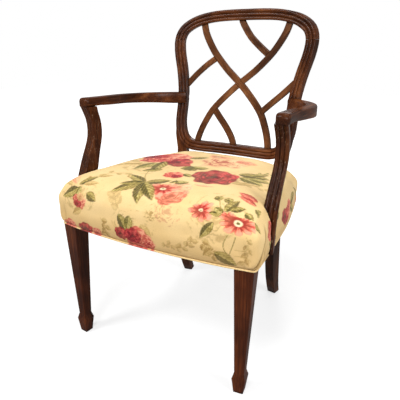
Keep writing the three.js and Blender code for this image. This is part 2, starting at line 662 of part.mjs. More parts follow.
// The hole for a screw: a bore for the shank and a wider one for the head, run back out of the wood
function screwHole(length, runBack, from, direction) {
  const head = SCREW_HEAD_RADIUS + HOLE_CLEARANCE;
  const shank = SCREW_SHANK_RADIUS + HOLE_CLEARANCE;
  const profile = [[-runBack, 0], [-runBack, head], [FIT_GAP, head], [SCREW_HEAD_HEIGHT + FIT_GAP, shank],
    [length + HOLE_CLEARANCE, shank], [length + HOLE_CLEARANCE, 0]];
  return toSolid(turned(profile, from, direction, SCREW_SIDES));
}

const screws = [];
function placeScrew(name, length, runBack, from, direction) {
  screws.push([name, turned(screwProfile(length), from, direction, SCREW_SIDES)]);
  return screwHole(length, runBack, from, direction);
}

// Arm screws run forward and a little outward through the posts, under a wooden plug
const armScrewX = armPostX - POST_WIDTH / 4;
const postRearY = backY(armScrewX, armJointZ) + BACK_DEPTH;
const forward = [Math.sin(ARM_SCREW_TURN * DEGREE), -Math.cos(ARM_SCREW_TURN * DEGREE)];
const alongScrew = (sign, length) => [
  sign * (armScrewX + length * forward[0]), postRearY + length * forward[1], armJointZ];
const armScrewHoles = {};
for (const [side, sign] of [['right', 1], ['left', -1]]) {
  const direction = [sign * forward[0], forward[1], 0];
  const from = alongScrew(sign, PLUG_LENGTH + FIT_GAP);
  const hole = placeScrew(`arm_screw_${side}`, ARM_SCREW_LENGTH, FIT_GAP, from, direction);
  const boreFrom = alongScrew(sign, -PLUG_LENGTH);
  const boreLength = 2 * PLUG_LENGTH + FIT_GAP;
  const boreRadius = PLUG_RADIUS + FIT_GAP;
  const boreProfile = [[0, 0], [0, boreRadius], [boreLength, boreRadius], [boreLength, 0]];
  armScrewHoles[side] = hole.add(toSolid(turned(boreProfile, boreFrom, direction, PLUG_SIDES)));
  const plugProfile = [[0, 0], [0, PLUG_RADIUS], [PLUG_LENGTH, PLUG_RADIUS], [PLUG_LENGTH, 0]];
  add(`arm_plug_${side}`, turned(plugProfile, alongScrew(sign, 0), direction, PLUG_SIDES), MAHOGANY);
}

// Support screws run outward through the side rails
const supportRear = supportRing(0.1, [[0, SUPPORT_ROOT_DEPTH / 2]])[0];
const supportScrewX = supportRear[0] + SUPPORT_SCREW_REACH / 2 - SUPPORT_SCREW_LENGTH;
const supportScrewHoles = { right: [], left: [] };
for (const [side, sign] of [['right', 1], ['left', -1]]) {
  [['lower', 0], ['upper', SUPPORT_SCREW_GAP]].forEach(([level, up]) => {
    const z = supportFootZ + SUPPORT_SCREW_GAP / 3 + up;
    const from = [sign * supportScrewX, supportRear[1], z];
    const name = `support_screw_${level}_${side}`;
    const hole = placeScrew(name, SUPPORT_SCREW_LENGTH, SIDE_RAIL_FRONT_THICKNESS, from, [sign, 0, 0]);
    supportScrewHoles[side].push(hole);
  });
}

const armSolid = armBody().subtract(postClear).subtract(supportTenon(FIT_GAP)).subtract(armScrewHoles.right);
const supportSolid = cutBy(supportBody(0).add(supportTenon(0)), supportScrewHoles.right);
for (const [side, place] of SIDES) {
  add(`arm_${side}`, fromSolid(place(armSolid)), MAHOGANY);
  add(`arm_support_${side}`, fromSolid(place(supportSolid)), MAHOGANY);
}

// Plan of the seat's lower edge, from the middle of the front round the right side to the middle of the rear.
// It narrows from the front to the rear corners, which stand a little outside the rear legs
const SEAT_PLAN_shares = [[0, 0], [0.2, 0.001], [0.401, 0.007], [0.602, 0.015], [0.784, 0.026], [0.917, 0.037],
  [0.984, 0.044], [1.009, 0.056], [1.017, 0.085], [1.023, 0.136], [1.035, 0.262], [1.044, 0.4], [1.054, 0.582],
  [1.042, 0.765], [1.014, 0.895], [0.992, 0.965], [0.967, 0.99], [0.913, 1], [0.626, 1], [0.313, 1], [0, 1]];
const seatRearY = KNEE_Y + SEAT_REAR_OVERHANG;
const seatDepth = SEAT_FRONT_Y + seatRearY;
const seatNarrowing = SEAT_HALF_WIDTH - seatLegX - SEAT_CORNER_OVERHANG;

const seatFrontEdge = curveThrough(SEAT_PLAN_shares.slice(0, 7));

// Front legs: square, tapered, with a spade foot, and a plain block inside the seat
const frontLegX = SEAT_HALF_WIDTH - FRONT_LEG_INSET;
const frontLegY = SEAT_FRONT_Y - seatFrontEdge(frontLegX / SEAT_HALF_WIDTH) * seatDepth - FRONT_LEG_SET_BACK;

function frontLeg(gap) {
  const lean = (z) => Math.min(1, z / frontLegTopZ);
  const levels = [[0, SPADE_BASE], [SPADE_Z, SPADE_SIZE], [ANKLE_Z, ANKLE_SIZE], [frontLegTopZ, FRONT_LEG_SIZE],
    [frontLegTopZ, FRONT_LEG_BLOCK], [railTopZ - FIT_GAP, FRONT_LEG_BLOCK]];
  const turn = FRONT_LEG_TURN * DEGREE;
  const rings = levels.map(([z, size]) => {
    const x = frontLegX - FRONT_FOOT_STEP_IN * (1 - lean(z));
    const y = -frontLegY - FRONT_FOOT_STEP_OUT * (1 - lean(z));
    const section = gap > 0 ? clearSection(size, size, gap) : plainSection(size, size, EDGE_EASE);
    return section.map(([across, deep]) => {
      const back = deep - size / 2;
      return [x + across * Math.cos(turn) - back * Math.sin(turn),
        y + across * Math.sin(turn) + back * Math.cos(turn), z];
    });
  });
  if (gap > 0) rings.push(rings[rings.length - 1].map(([x, y, z]) => [x, y, z + gap]));
  return toSolid(loft(rings));
}

function seatLine() {
  const point = (sign) => ([side, back]) => new THREE.Vector3(
    sign * side * (SEAT_HALF_WIDTH - back * seatNarrowing), back * seatDepth - SEAT_FRONT_Y, 0);
  const right = SEAT_PLAN_shares.map(point(1));
  const left = SEAT_PLAN_shares.slice(1, -1).reverse().map(point(-1));
  return new THREE.CatmullRomCurve3([...right, ...left], true, 'centripetal');
}

const seatCurve = seatLine();

// The plan moved out or in by a length, or drawn toward the middle by a share
function seatRing(z, offset, shrink = 1) {
  const count = seatCurve.points.length;
  const middleY = (seatRearY - SEAT_FRONT_Y) / 2;
  const ring = [];
  for (let i = 0; i < count; i += 1) {
    const here = seatCurve.getPoint(i / count);
    const along = seatCurve.getTangent(i / count).normalize();
    const x = here.x + along.y * offset;
    const y = here.y - along.x * offset;
    ring.push([x * shrink, middleY + (y - middleY) * shrink, z]);
  }
  return ring;
}

// Seat frame: the rails follow the seat's plan inside the cover
const railLine = seatRing(0, -RAIL_INSET).map(([x, y]) => new THREE.Vector2(x, y));
const quarter = railLine.length / 2;
const outerSide = railLine.slice(0, quarter + 1);
const frontInnerY = (x) => {
  const bow = (x / SEAT_HALF_WIDTH) ** 2;
  return -SEAT_FRONT_Y + RAIL_INSET + RAIL_THICKNESS + bow * (SEAT_FRONT_Y - frontLegY - FRONT_LEG_BLOCK / 2);
};

function extrudedRail(outline) {
  const shape = new THREE.Shape(outline);
  const options = { depth: railTopZ - RAIL_BOTTOM_Z, bevelEnabled: false };
  return toSolid(new THREE.ExtrudeGeometry(shape, options).translate(0, 0, RAIL_BOTTOM_Z));
}

const frontLegSolid = frontLeg(0);
const frontLegClear = frontLeg(FIT_GAP);
const SEAT_REACH_share = 0.5;
const supportClear = supportBody(FIT_GAP, SEAT_REACH_share);
const legFaceX = frontLegX - FRONT_LEG_BLOCK / 2;
const legRearY = -frontLegY + FRONT_LEG_BLOCK / 2;

// Front rail, bowed on both faces, between the legs
const frontOuter = outerSide.filter((point) => point.x <= legFaceX && point.y < 0);
const lastInside = frontOuter[frontOuter.length - 1];
const firstOutside = outerSide[frontOuter.length];
const legFaceShare = (legFaceX - lastInside.x) / (firstOutside.x - lastInside.x);
const frontHalf = [...frontOuter, lastInside.clone().lerp(firstOutside, legFaceShare)];
const frontInner = [1, 0.75, 0.5, 0.25, 0, -0.25, -0.5, -0.75, -1].map((share) => new THREE.Vector2(
  share * legFaceX, frontInnerY(share * legFaceX)));
const frontOutline = [...frontHalf.slice(1).reverse().map((point) => new THREE.Vector2(-point.x, point.y)),
  ...frontHalf, ...frontInner];

function railTenon(low, high, gap) {
  return boxSolid(low.map((value) => value - gap), high.map((value) => value + gap));
}

const railMiddleZ = (railTopZ + RAIL_BOTTOM_Z) / 2;
const tenonLowZ = railMiddleZ - RAIL_TENON_HEIGHT / 2;
const tenonHighZ = railMiddleZ + RAIL_TENON_HEIGHT / 2;

function frontTenon(gap) {
  const y = frontInnerY(legFaceX) - RAIL_TENON_THICKNESS;
  return railTenon([legFaceX - RAIL_TENON_LENGTH, y - RAIL_TENON_THICKNESS / 2, tenonLowZ],
    [legFaceX + RAIL_TENON_LENGTH, y + RAIL_TENON_THICKNESS / 2, tenonHighZ], gap);
}

// Side rails: bowed outside, straight inside, tenoned to the front leg and lapped round the post
const sideOuter = outerSide.filter((point) => point.y > legRearY && point.y < seatRearY - RAIL_INSET * 2);
const sideStartX = sideOuter[0].x - SIDE_RAIL_FRONT_THICKNESS;
const sideRearX = seatLegX + SIDE_RAIL_REAR_STEP;
const sideEndY = sideOuter[sideOuter.length - 1].y;
const sideOutline = [new THREE.Vector2(sideStartX, legRearY), new THREE.Vector2(sideOuter[0].x, legRearY),
  ...sideOuter, new THREE.Vector2(sideRearX, sideEndY)];

function sideTenon(gap) {
  const x = sideOuter[0].x - SIDE_RAIL_FRONT_THICKNESS / 2 - RAIL_TENON_THICKNESS / 2;
  return railTenon([x - RAIL_TENON_THICKNESS / 2, legRearY - RAIL_TENON_LENGTH / 2, tenonLowZ],
    [x + RAIL_TENON_THICKNESS / 2, legRearY + RAIL_TENON_LENGTH, tenonHighZ], gap);
}

// Rear rail, between the posts
const rearRailFrontY = seatRearY - RAIL_INSET - REAR_RAIL_THICKNESS;
const rearFaceX = seatLegX - REAR_LEG_SIZE / 2;

function rearTenon(gap) {
  const y = rearRailFrontY + REAR_RAIL_THICKNESS / 2;
  return railTenon([rearFaceX - RAIL_TENON_LENGTH, y - RAIL_TENON_THICKNESS / 2, tenonLowZ],
    [rearFaceX + RAIL_TENON_LENGTH, y + RAIL_TENON_THICKNESS / 2, tenonHighZ], gap);
}

// Corner blocks: triangles glued and screwed into the inner corners
const blockLowZ = railMiddleZ - BLOCK_HEIGHT / 2;

function cornerBlock(corner, alongX, alongY) {
  const shape = new THREE.Shape([new THREE.Vector2(...corner), new THREE.Vector2(corner[0] + alongX, corner[1]),
    new THREE.Vector2(corner[0], corner[1] + alongY)]);
  const geometry = new THREE.ExtrudeGeometry(shape, { depth: BLOCK_HEIGHT, bevelEnabled: false });
  return toSolid(geometry.translate(0, 0, blockLowZ));
}

const frontRailSolid = extrudedRail(frontOutline).add(frontTenon(0)).add(mirrored(frontTenon(0)));
const rearRailSolid = boxSolid([-rearFaceX, rearRailFrontY, RAIL_BOTTOM_Z],
  [rearFaceX, rearRailFrontY + REAR_RAIL_THICKNESS, railTopZ]);
const sideRailSolid = extrudedRail(sideOutline).subtract(frontLegClear).subtract(postClear).add(sideTenon(0));
const frontRailClear = frontRailSolid.add(frontRailSolid.translate(0, FIT_GAP, 0));
const sideRailClear = sideRailSolid.add(sideRailSolid.translate(-FIT_GAP, 0, 0));

const frontCorner = [sideStartX + SIDE_RAIL_FRONT_THICKNESS / 2, -SEAT_FRONT_Y + RAIL_INSET + RAIL_THICKNESS];
const outsideLeg = boxSolid([legFaceX - FIT_GAP, -SEAT_FRONT_Y, 0], [SEAT_HALF_WIDTH, -frontLegY, railTopZ]);
const frontBlock = cornerBlock(frontCorner, -BLOCK_LEG - RAIL_THICKNESS, BLOCK_LEG + RAIL_THICKNESS)
  .subtract(frontLeg(2 * FIT_GAP))
  .subtract(outsideLeg)
  .subtract(frontRailClear)
  .subtract(sideRailClear);
const rearCorner = [sideRearX + SIDE_RAIL_FRONT_THICKNESS / 2, rearRailFrontY - FIT_GAP];
const rearBlock = cornerBlock(rearCorner, -BLOCK_LEG - RAIL_THICKNESS, -BLOCK_LEG)
  .subtract(rearLeg(2 * FIT_GAP))
  .subtract(sideRailClear);

const blockScrewZ = railMiddleZ;
const blockHoles = { right: [], left: [] };
const frontScrewX = frontCorner[0] - BLOCK_LEG;
const frontScrewY = frontInnerY(frontScrewX) + RAIL_THICKNESS / 2;
const sideScrewY = frontCorner[1] + BLOCK_LEG * 0.8;
const rearScrewX = rearCorner[0] - BLOCK_LEG;
for (const [side, sign] of [['right', 1], ['left', -1]]) {
  const places = [
    ['front', 'a', [sign * frontScrewX, frontScrewY, blockScrewZ], [0, -1, 0]],
    ['front', 'b', [sign * (sideStartX - RAIL_THICKNESS / 2), sideScrewY, blockScrewZ], [sign, 0, 0]],
    ['rear', 'a', [sign * rearScrewX, rearRailFrontY - RAIL_THICKNESS / 2, blockScrewZ], [0, 1, 0]],
    ['rear', 'b', [sign * (sideRearX - RAIL_THICKNESS / 3), rearRailFrontY - BLOCK_LEG / 2, blockScrewZ],
      [sign, 0, 0]],
  ];
  for (const [end, letter, from, direction] of places) {
    const name = `block_screw_${end}_${side}_${letter}`;
    blockHoles[side].push(placeScrew(name, BLOCK_SCREW_LENGTH, BLOCK_LEG, from, direction));
  }
}

const allBlockHoles = [...blockHoles.right, ...blockHoles.left];
add('seat_rail_front', fromSolid(cutBy(
  extrudedRail(frontOutline).subtract(frontLegClear).subtract(mirrored(frontLegClear))
    .add(frontTenon(0)).add(mirrored(frontTenon(0))), allBlockHoles)), BEECH);
add('seat_rail_rear', fromSolid(cutBy(
  rearRailSolid.subtract(postClear).subtract(mirrored(postClear))
    .add(rearTenon(0)).add(mirrored(rearTenon(0))), allBlockHoles)), BEECH);
const sideRailCut = cutBy(sideRailSolid, [supportClear, ...supportScrewHoles.right, ...blockHoles.right]);
const frontLegCut = cutBy(frontLegSolid, [frontTenon(FIT_GAP), sideTenon(FIT_GAP)]);
const postRegion = boxSolid([railJointX + FIT_GAP / 2, -CUT_REACH, 0],
  [CUT_REACH, CUT_REACH, crestJointZ - FIT_GAP / 2]);
const postSolid = cutBy(shield.intersect(postRegion).add(rearLeg(0)).add(postTenon(0)),
  [backRailTenon(FIT_GAP), rearTenon(FIT_GAP), armScrewHoles.right]);
for (const [side, place] of SIDES) {
  add(`seat_rail_${side}`, fromSolid(place(sideRailCut)), BEECH);
  add(`front_leg_${side}`, fromSolid(place(frontLegCut)), MAHOGANY);
  add(`back_post_${side}`, fromSolid(cutBy(place(postSolid), shieldMortises)), MAHOGANY);
  add(`corner_block_front_${side}`, fromSolid(cutBy(place(frontBlock), blockHoles[side])), BEECH);
  add(`corner_block_rear_${side}`, fromSolid(cutBy(place(rearBlock), blockHoles[side])), BEECH);
}
for (const [name, geometry] of screws) add(name, geometry, STEEL);

// Webbing: jute strips woven over and under each other across the top of the rails
const WEBBING_LENGTHWISE_shares = [-0.37, 0, 0.37];
const WEBBING_CROSSWISE_shares = [0.17, 0.36, 0.55, 0.74];
const webbingZ = railTopZ + FIT_GAP;
const lengthwiseX = WEBBING_LENGTHWISE_shares.map((share) => share * SEAT_HALF_WIDTH);
const crosswiseY = WEBBING_CROSSWISE_shares.map((share) => share * seatDepth - SEAT_FRONT_Y);

// One strip: it rises or dips where it crosses the others and lies down on the rail at both ends
function webbingStrip(start, end, crossings, phase, place) {
  const half = WEBBING_WIDTH / 2;
  const stations = [[start, 0]];
  crossings.forEach((crossing, i) => {
    const rise = WEBBING_WAVE * (1 + (-1) ** (i + phase));
    stations.push([crossing - half, rise], [crossing + half, rise]);
  });
  stations.push([end, 0]);
  return loft(stations.map(([along, rise]) => [[-half, 0], [half, 0], [half, WEBBING_THICKNESS],
    [-half, WEBBING_THICKNESS]].map(([across, up]) => place(along, across, webbingZ + rise + up))));
}

const webbingNotches = [postClear, mirrored(postClear), supportClear, mirrored(supportClear)];
lengthwiseX.forEach((x, i) => {
  const front = frontInnerY(x) - WEBBING_LAP;
  const rear = rearRailFrontY + WEBBING_LAP;
  const place = (along, across, z) => [x + across, along, z];
  const strip = toSolid(webbingStrip(front, rear, crosswiseY, i, place));
  add(`webbing_lengthwise_${i + 1}`, fromSolid(cutBy(strip, webbingNotches)), JUTE);
});
crosswiseY.forEach((y, i) => {
  const run = (y - legRearY) / (sideEndY - legRearY);
  const reach = sideStartX + (sideRearX - sideStartX) * run + WEBBING_LAP;
  const place = (along, across, z) => [along, y + across, z];
  const strip = toSolid(webbingStrip(-reach, reach, lengthwiseX, i + 1, place));
  add(`webbing_crosswise_${i + 1}`, fromSolid(cutBy(strip, webbingNotches)), JUTE);
});

// Flat cloths: hessian over the webbing and a dust cover under the rails
function flatCloth(bottom, thickness, inset) {
  return toSolid(loft([seatRing(bottom, -inset), seatRing(bottom + thickness, -inset)]));
}

const rearLegLoose = rearLeg(CLOTH_GAP, KNEE_Z - BLOCK_LEG);
const rearNotch = rearLegLoose.add(rearLegLoose.translate(0, REAR_LEG_DEPTH, 0));
const frontLegLoose = frontLeg(CLOTH_GAP);
const rearNotches = [rearNotch, mirrored(rearNotch)];
const hessianZ = webbingZ + 2 * WEBBING_WAVE + WEBBING_THICKNESS + FIT_GAP;
const supportLoose = supportBody(CLOTH_GAP, SEAT_REACH_share);
const coverNotches = [...rearNotches, supportLoose, mirrored(supportLoose)];
const frontNotches = [frontLegLoose, mirrored(frontLegLoose)];
add('hessian', fromSolid(cutBy(flatCloth(hessianZ, HESSIAN_THICKNESS, HESSIAN_INSET), coverNotches)), JUTE);
const dustCoverZ = RAIL_BOTTOM_Z - FIT_GAP - DUST_COVER_THICKNESS;
const dustCover = flatCloth(dustCoverZ, DUST_COVER_THICKNESS, DUST_COVER_INSET);
add('dust_cover', fromSolid(cutBy(dustCover, [...rearNotches, ...frontNotches])), BLACK_CLOTH);

// Seat profile, as [height, how far it stands out] up the sides, then [drawn in, height] over the crown
const SIDE_PROFILE_shares = [[0, 0], [0.25, 0.36], [0.6, 0.85], [1, 1]];
const SHOULDER_PROFILE_shares = [[0.5, 0.62], [1, -0.5]];
const CROWN_PROFILE_shares = [[0.955, 0.34], [0.885, 0.57], [0.77, 0.76], [0.6, 0.88], [0.36, 0.97], [0.14, 1]];

// The crown falls away toward the rear corners
function settled([x, y, z]) {
  const rise = Math.max(0, z - bulgeZ) / (crownZ - bulgeZ);
  const back = (y + SEAT_FRONT_Y) / seatDepth;
  return [x, y, z - SEAT_CORNER_DROP * rise * back * (x / SEAT_HALF_WIDTH) ** 2];
}

function seatSkin(inset, bottom, plain = false) {
  const kept = (shares) => shares.filter((pair, i) => !plain || i % 2 === shares.length % 2);
  const sides = SIDE_PROFILE_shares.map(([up, out]) => {
    const z = bottom + up * (bulgeZ - bottom);
    return seatRing(z, out * SEAT_BULGE - inset);
  });
  const shoulders = SHOULDER_PROFILE_shares.map(([up, out]) => seatRing(
    bulgeZ + up * (shoulderZ - inset - bulgeZ), out * SEAT_BULGE - inset));
  const crown = kept(CROWN_PROFILE_shares).map(([shrink, up]) => seatRing(
    shoulderZ - inset + up * (crownZ - shoulderZ), -inset, shrink));
  return [...sides, ...shoulders, ...crown].map((ring) => ring.map(settled));
}

// The cover is a cloth shell with a crown and full sides, notched round the posts and the arm supports
const coverInside = seatSkin(COVER_THICKNESS, coverBottomZ, true).reverse();
const coverSolid = toSolid(loft([...coverInside, ...seatSkin(0, coverBottomZ)]));
add('seat_cover', fromSolid(cutBy(coverSolid, coverNotches)), FLORAL);

// The stuffing fills the cover above the hessian and laps down outside the rails
const padInset = COVER_THICKNESS + CLOTH_GAP;
const padBottomZ = coverBottomZ + SEAT_BULGE * 2;
const padFloorZ = hessianZ + HESSIAN_THICKNESS + FIT_GAP;
const frameBlock = toSolid(loft([seatRing(coverBottomZ, CLOTH_GAP - RAIL_INSET), seatRing(padFloorZ, CLOTH_GAP - RAIL_INSET)]));
const padSolid = toSolid(loft(seatSkin(padInset, padBottomZ, true))).subtract(frameBlock);
add('seat_pad', fromSolid(cutBy(padSolid, [...coverNotches, ...frontNotches])), WADDING);

// Welt: piping along the lower edge of the cover, in two lengths because the posts interrupt it
const WELT_SIDES = 6;
const weltZ = coverBottomZ - FIT_GAP - WELT_RADIUS;
const weltInner = seatRing(weltZ, -2 * WELT_RADIUS);
const weltOuter = seatRing(weltZ, 0);
const weltLoop = toSolid(loft(weltOuter.map(([x, y, z], i) => {
  const [innerX, innerY] = weltInner[i];
  const ring = [];
  for (let j = 0; j < WELT_SIDES; j += 1) {
    const angle = 2 * Math.PI * j / WELT_SIDES;
    const out = (1 + Math.cos(angle)) / 2;
    ring.push([innerX + (x - innerX) * out, innerY + (y - innerY) * out, z + Math.sin(angle) * WELT_RADIUS]);
  }
  return ring;
}), true));
const weltLengths = cutBy(weltLoop, [...rearNotches, ...frontNotches]).decompose().sort((one, other) => other.volume() - one.volume());
['seat_welt_front', 'seat_welt_rear'].forEach((name, i) => add(name, fromSolid(weltLengths[i]), WELT_CLOTH));

// The origin is at the middle of the chair's box, on the floor
const box = new THREE.Box3().setFromObject(chair);
const middle = box.getCenter(new THREE.Vector3());
chair.position.set(-middle.x, -middle.y, -box.min.z);

export default chair;
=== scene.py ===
import math

import bmesh
import bpy
import numpy as np
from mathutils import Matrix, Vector
from mathutils.bvhtree import BVHTree


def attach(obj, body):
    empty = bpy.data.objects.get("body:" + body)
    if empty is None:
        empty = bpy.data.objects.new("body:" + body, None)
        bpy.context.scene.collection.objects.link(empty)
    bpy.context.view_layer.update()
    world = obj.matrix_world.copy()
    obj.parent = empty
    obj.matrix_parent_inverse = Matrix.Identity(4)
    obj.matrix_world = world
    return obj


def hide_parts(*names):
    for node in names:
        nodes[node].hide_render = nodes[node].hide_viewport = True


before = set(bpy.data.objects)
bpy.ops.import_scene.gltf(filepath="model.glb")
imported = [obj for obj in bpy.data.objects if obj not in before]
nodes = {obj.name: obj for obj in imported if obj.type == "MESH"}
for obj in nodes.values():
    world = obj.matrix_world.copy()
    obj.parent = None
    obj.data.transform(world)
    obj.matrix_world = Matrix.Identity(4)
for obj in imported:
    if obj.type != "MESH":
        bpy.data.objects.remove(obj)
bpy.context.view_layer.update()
scene = bpy.context.scene
WHITE = (1.0, 1.0, 1.0)


def placed(name, data):
    """A new object in the scene for a mesh, a camera or a lamp."""
    thing = bpy.data.objects.new(name, data)
    scene.collection.objects.link(thing)
    return thing


# Front legs: solid mahogany, sawn square, tapered on every face and finished with a spade foot,
# then stained dark and polished. The grain runs up the leg.
LEG_TONES = ((0.0085, 0.0022, 0.0009), (0.06, 0.0135, 0.0034), (0.15, 0.046, 0.013))
FRAME_TONES = ((0.009, 0.0026, 0.001), (0.07, 0.0205, 0.006), (0.2, 0.078, 0.027))
GRAIN_FINE = 260.0
GRAIN_BROAD = 0.16
GRAIN_RUN = 0.045
# Darkening in hollows, found by ambient occlusion: partly polish gathered there, partly painted shade.
HOLLOW_REACH = 0.012
HOLLOW_TONES = ((0.3, (0.1, 0.08, 0.07)), (0.92, WHITE))
RUBBED_SCALE = 9.0
RUBBED_TONES = ((0.36, (0.54, 0.47, 0.43)), (0.64, (1.38, 1.28, 1.18)))
POLISH_ROUGHNESS = 0.32
POLISH_SPREAD = 0.16
COAT_WEIGHT = 0.17
COAT_ROUGHNESS = 0.22
COAT_IOR = 1.45
PORE_STRENGTH = 0.04
PORE_DEPTH = 0.0003
SCUFF_FINE = 430.0
SCUFF_RUN = 0.12
SCUFF_FROM = 0.65
SCUFF_FULL = 0.74
SCUFF_BROWN = (0.42, 0.29, 0.19)


def shader_tree(name):
    material = bpy.data.materials.new(name)
    material.use_nodes = True
    tree = material.node_tree
    tree.nodes.clear()
    output = tree.nodes.new("ShaderNodeOutputMaterial")
    shader = tree.nodes.new("ShaderNodeBsdfPrincipled")
    tree.links.new(shader.outputs["BSDF"], output.inputs["Surface"])
    return material, tree, shader


def feed(tree, node, inputs):
    """Links sockets to a node's inputs, and sets its other inputs to plain values."""
    for key, value in inputs.items():
        if isinstance(value, bpy.types.NodeSocket):
            tree.links.new(value, node.inputs[key])
        else:
            node.inputs[key].default_value = value


def add_node(tree, kind, inputs=None, prefix="ShaderNode", **settings):
    node = tree.nodes.new(prefix + kind)
    for key, value in settings.items():
        setattr(node, key, value)
    feed(tree, node, inputs or {})
    return node


def object_place(tree):
    return add_node(tree, "TexCoord").outputs["Object"]


def stretched(tree, place, scale):
    return add_node(tree, "Mapping", {"Vector": place, "Scale": scale}).outputs["Vector"]


def noise(tree, place, scale, detail, **more):
    inputs = {"Vector": place, "Scale": scale, "Detail": detail, **more}
    return add_node(tree, "TexNoise", inputs).outputs["Fac"]


def bumped(tree, height, strength, distance):
    inputs = {"Height": height, "Strength": strength, "Distance": distance}
    return add_node(tree, "Bump", inputs).outputs["Normal"]


def calculated(tree, operation, first, second):
    return add_node(tree, "Math", {0: first, 1: second}, operation=operation).outputs[0]


def ranged(tree, value, start, end, low, high):
    """Turns a value between start and end into one between low and high."""
    inputs = {"Value": value, "From Min": start, "From Max": end, "To Min": low, "To Max": high}
    return add_node(tree, "MapRange", inputs).outputs["Result"]


def ramp(tree, factor, stops):
    node = add_node(tree, "ValToRGB", {"Fac": factor})
    band = node.color_ramp
    while len(band.elements) < len(stops):
        band.elements.new(0.5)
    for element, (place, colour) in zip(band.elements, stops):
        element.position = place
        element.color = (*colour, 1.0)
    return node.outputs["Color"]


def mixed(tree, factor, first, second, blend="MIX"):
    node = add_node(tree, "Mix", {"Factor": factor}, data_type="RGBA", blend_type=blend)
    for key, value in (("A", first), ("B", second)):
        socket = [s for s in node.inputs if s.name == key and s.type == "RGBA"][0]
        if isinstance(value, bpy.types.NodeSocket):
            tree.links.new(value, socket)
        else:
            socket.default_value = (*value, 1.0)
    return [s for s in node.outputs if s.type == "RGBA"][0]


def polished_wood(name, along, deep, face, warm, lean=0.0, scuffs=0.0):
    """Stained and polished mahogany whose grain runs along one axis, darker in its hollows, partly where
    polish gathers and partly as painted shade.
    """
    material, tree, shader = shader_tree(name)
    turned = {"Vector": object_place(tree), "Rotation": (0.0, lean, 0.0)}
    place = add_node(tree, "Mapping", turned).outputs["Vector"]
    stretch = [1.0, 1.0, 1.0]
    stretch[along] = GRAIN_RUN
    laid = stretched(tree, place, stretch)
    fine = noise(tree, laid, GRAIN_FINE, 6.0, Roughness=0.62)
    broad = noise(tree, laid, GRAIN_FINE * GRAIN_BROAD, 3.0, Distortion=0.6)
    cloud = noise(tree, place, RUBBED_SCALE, 2.0)
    streaks = ramp(tree, fine, [(0.3, deep), (0.52, face), (0.75, warm)])
    bands = ramp(tree, broad, [(0.3, deep), (0.55, face), (0.8, warm)])
    # Hollows darken: partly gathered polish, partly painted shade.
    hollow = add_node(tree, "AmbientOcclusion", {"Distance": HOLLOW_REACH}, samples=8, inside=False)
    hollow_polish_and_shade = ramp(tree, hollow.outputs["AO"], HOLLOW_TONES)
    shaded = mixed(tree, 1.0, mixed(tree, 0.5, streaks, bands), hollow_polish_and_shade, "MULTIPLY")
    colour = mixed(tree, 1.0, shaded, ramp(tree, cloud, RUBBED_TONES), "MULTIPLY")
    if scuffs:
        stretch[along] = SCUFF_RUN
        nicks = noise(tree, stretched(tree, place, stretch), SCUFF_FINE, 2.0)
        nicked = ramp(tree, nicks, [(SCUFF_FROM, (0.0, 0.0, 0.0)), (SCUFF_FULL, (scuffs, scuffs, scuffs))])
        colour = mixed(tree, nicked, colour, SCUFF_BROWN)
    gloss = ranged(tree, broad, 0.2, 0.8, POLISH_ROUGHNESS, POLISH_ROUGHNESS + POLISH_SPREAD)
    pores = bumped(tree, fine, PORE_STRENGTH, PORE_DEPTH)
    feed(tree, shader, {"Base Color": colour, "Roughness": gloss, "Normal": pores,
                        "Specular IOR Level": 0.0, "Coat Weight": COAT_WEIGHT, "Coat IOR": COAT_IOR,
                        "Coat Roughness": COAT_ROUGHNESS})
    return material


SMOOTH_ANGLE = math.radians(38.0)
MERGE_GAP = 0.00002


def node_group(name, inputs, output):
    """A geometry node group, with the sockets that come in and those that go out."""
    tree = bpy.data.node_groups.new(name, "GeometryNodeTree")
    for label, kind in inputs.items():
        tree.interface.new_socket(label, in_out="INPUT", socket_type="NodeSocket" + kind)
    tree.interface.new_socket(output, in_out="OUTPUT", socket_type="NodeSocketGeometry")
    given = tree.nodes.new("NodeGroupInput")
    made = tree.nodes.new("NodeGroupOutput")
    return tree, given.outputs, made.inputs


def geometry_step(tree, kind, inputs, **settings):
    return add_node(tree, kind, inputs, "GeometryNode", **settings).outputs[0]


def smoothing_tree():
    """Joins a CAD node's loose triangles and shades it smooth, but for edges sharper than an angle."""
    sockets = {"Piece": "Geometry", "Merge gap": "Float", "Smooth angle": "Float"}
    tree, given, made = node_group("eased_shading", sockets, "Piece")
    bare = geometry_step(tree, "RemoveAttribute", {"Geometry": given["Piece"], "Name": "custom_normal"})
    joined = geometry_step(tree, "MergeByDistance", {"Geometry": bare, "Distance": given["Merge gap"]})
    smooth = geometry_step(tree, "SetShadeSmooth", {"Geometry": joined})
    angle = add_node(tree, "InputMeshEdgeAngle", None, "GeometryNode").outputs["Unsigned Angle"]
    sharp = add_node(tree, "Compare", {"A": angle, "B": given["Smooth angle"]}, "FunctionNode")
    edges = {"Geometry": smooth, "Selection": sharp.outputs["Result"], "Shade Smooth": False}
    tree.links.new(geometry_step(tree, "SetShadeSmooth", edges, domain="EDGE"), made["Piece"])
    return tree


eased_shading = smoothing_tree()


def set_inputs(modifier, **values):
    for item in modifier.node_group.interface.items_tree:
        name = item.name.replace(" ", "_").lower()
        if item.in_out == "INPUT" and name in values:
            modifier[item.identifier] = values[name]


def finish_node(name, material):
    """Gives a CAD node its material and eased shading; its mesh stays as it is."""
    piece = nodes[name]
    piece.data.materials.clear()
    piece.data.materials.append(material)
    easing = piece.modifiers.new("eased", "NODES")
    easing.node_group = eased_shading
    set_inputs(easing, merge_gap=MERGE_GAP, smooth_angle=SMOOTH_ANGLE)


leg_mahogany = polished_wood("mahogany_leg", 2, *LEG_TONES)
for side in ("right", "left"):
    finish_node(f"front_leg_{side}", leg_mahogany)


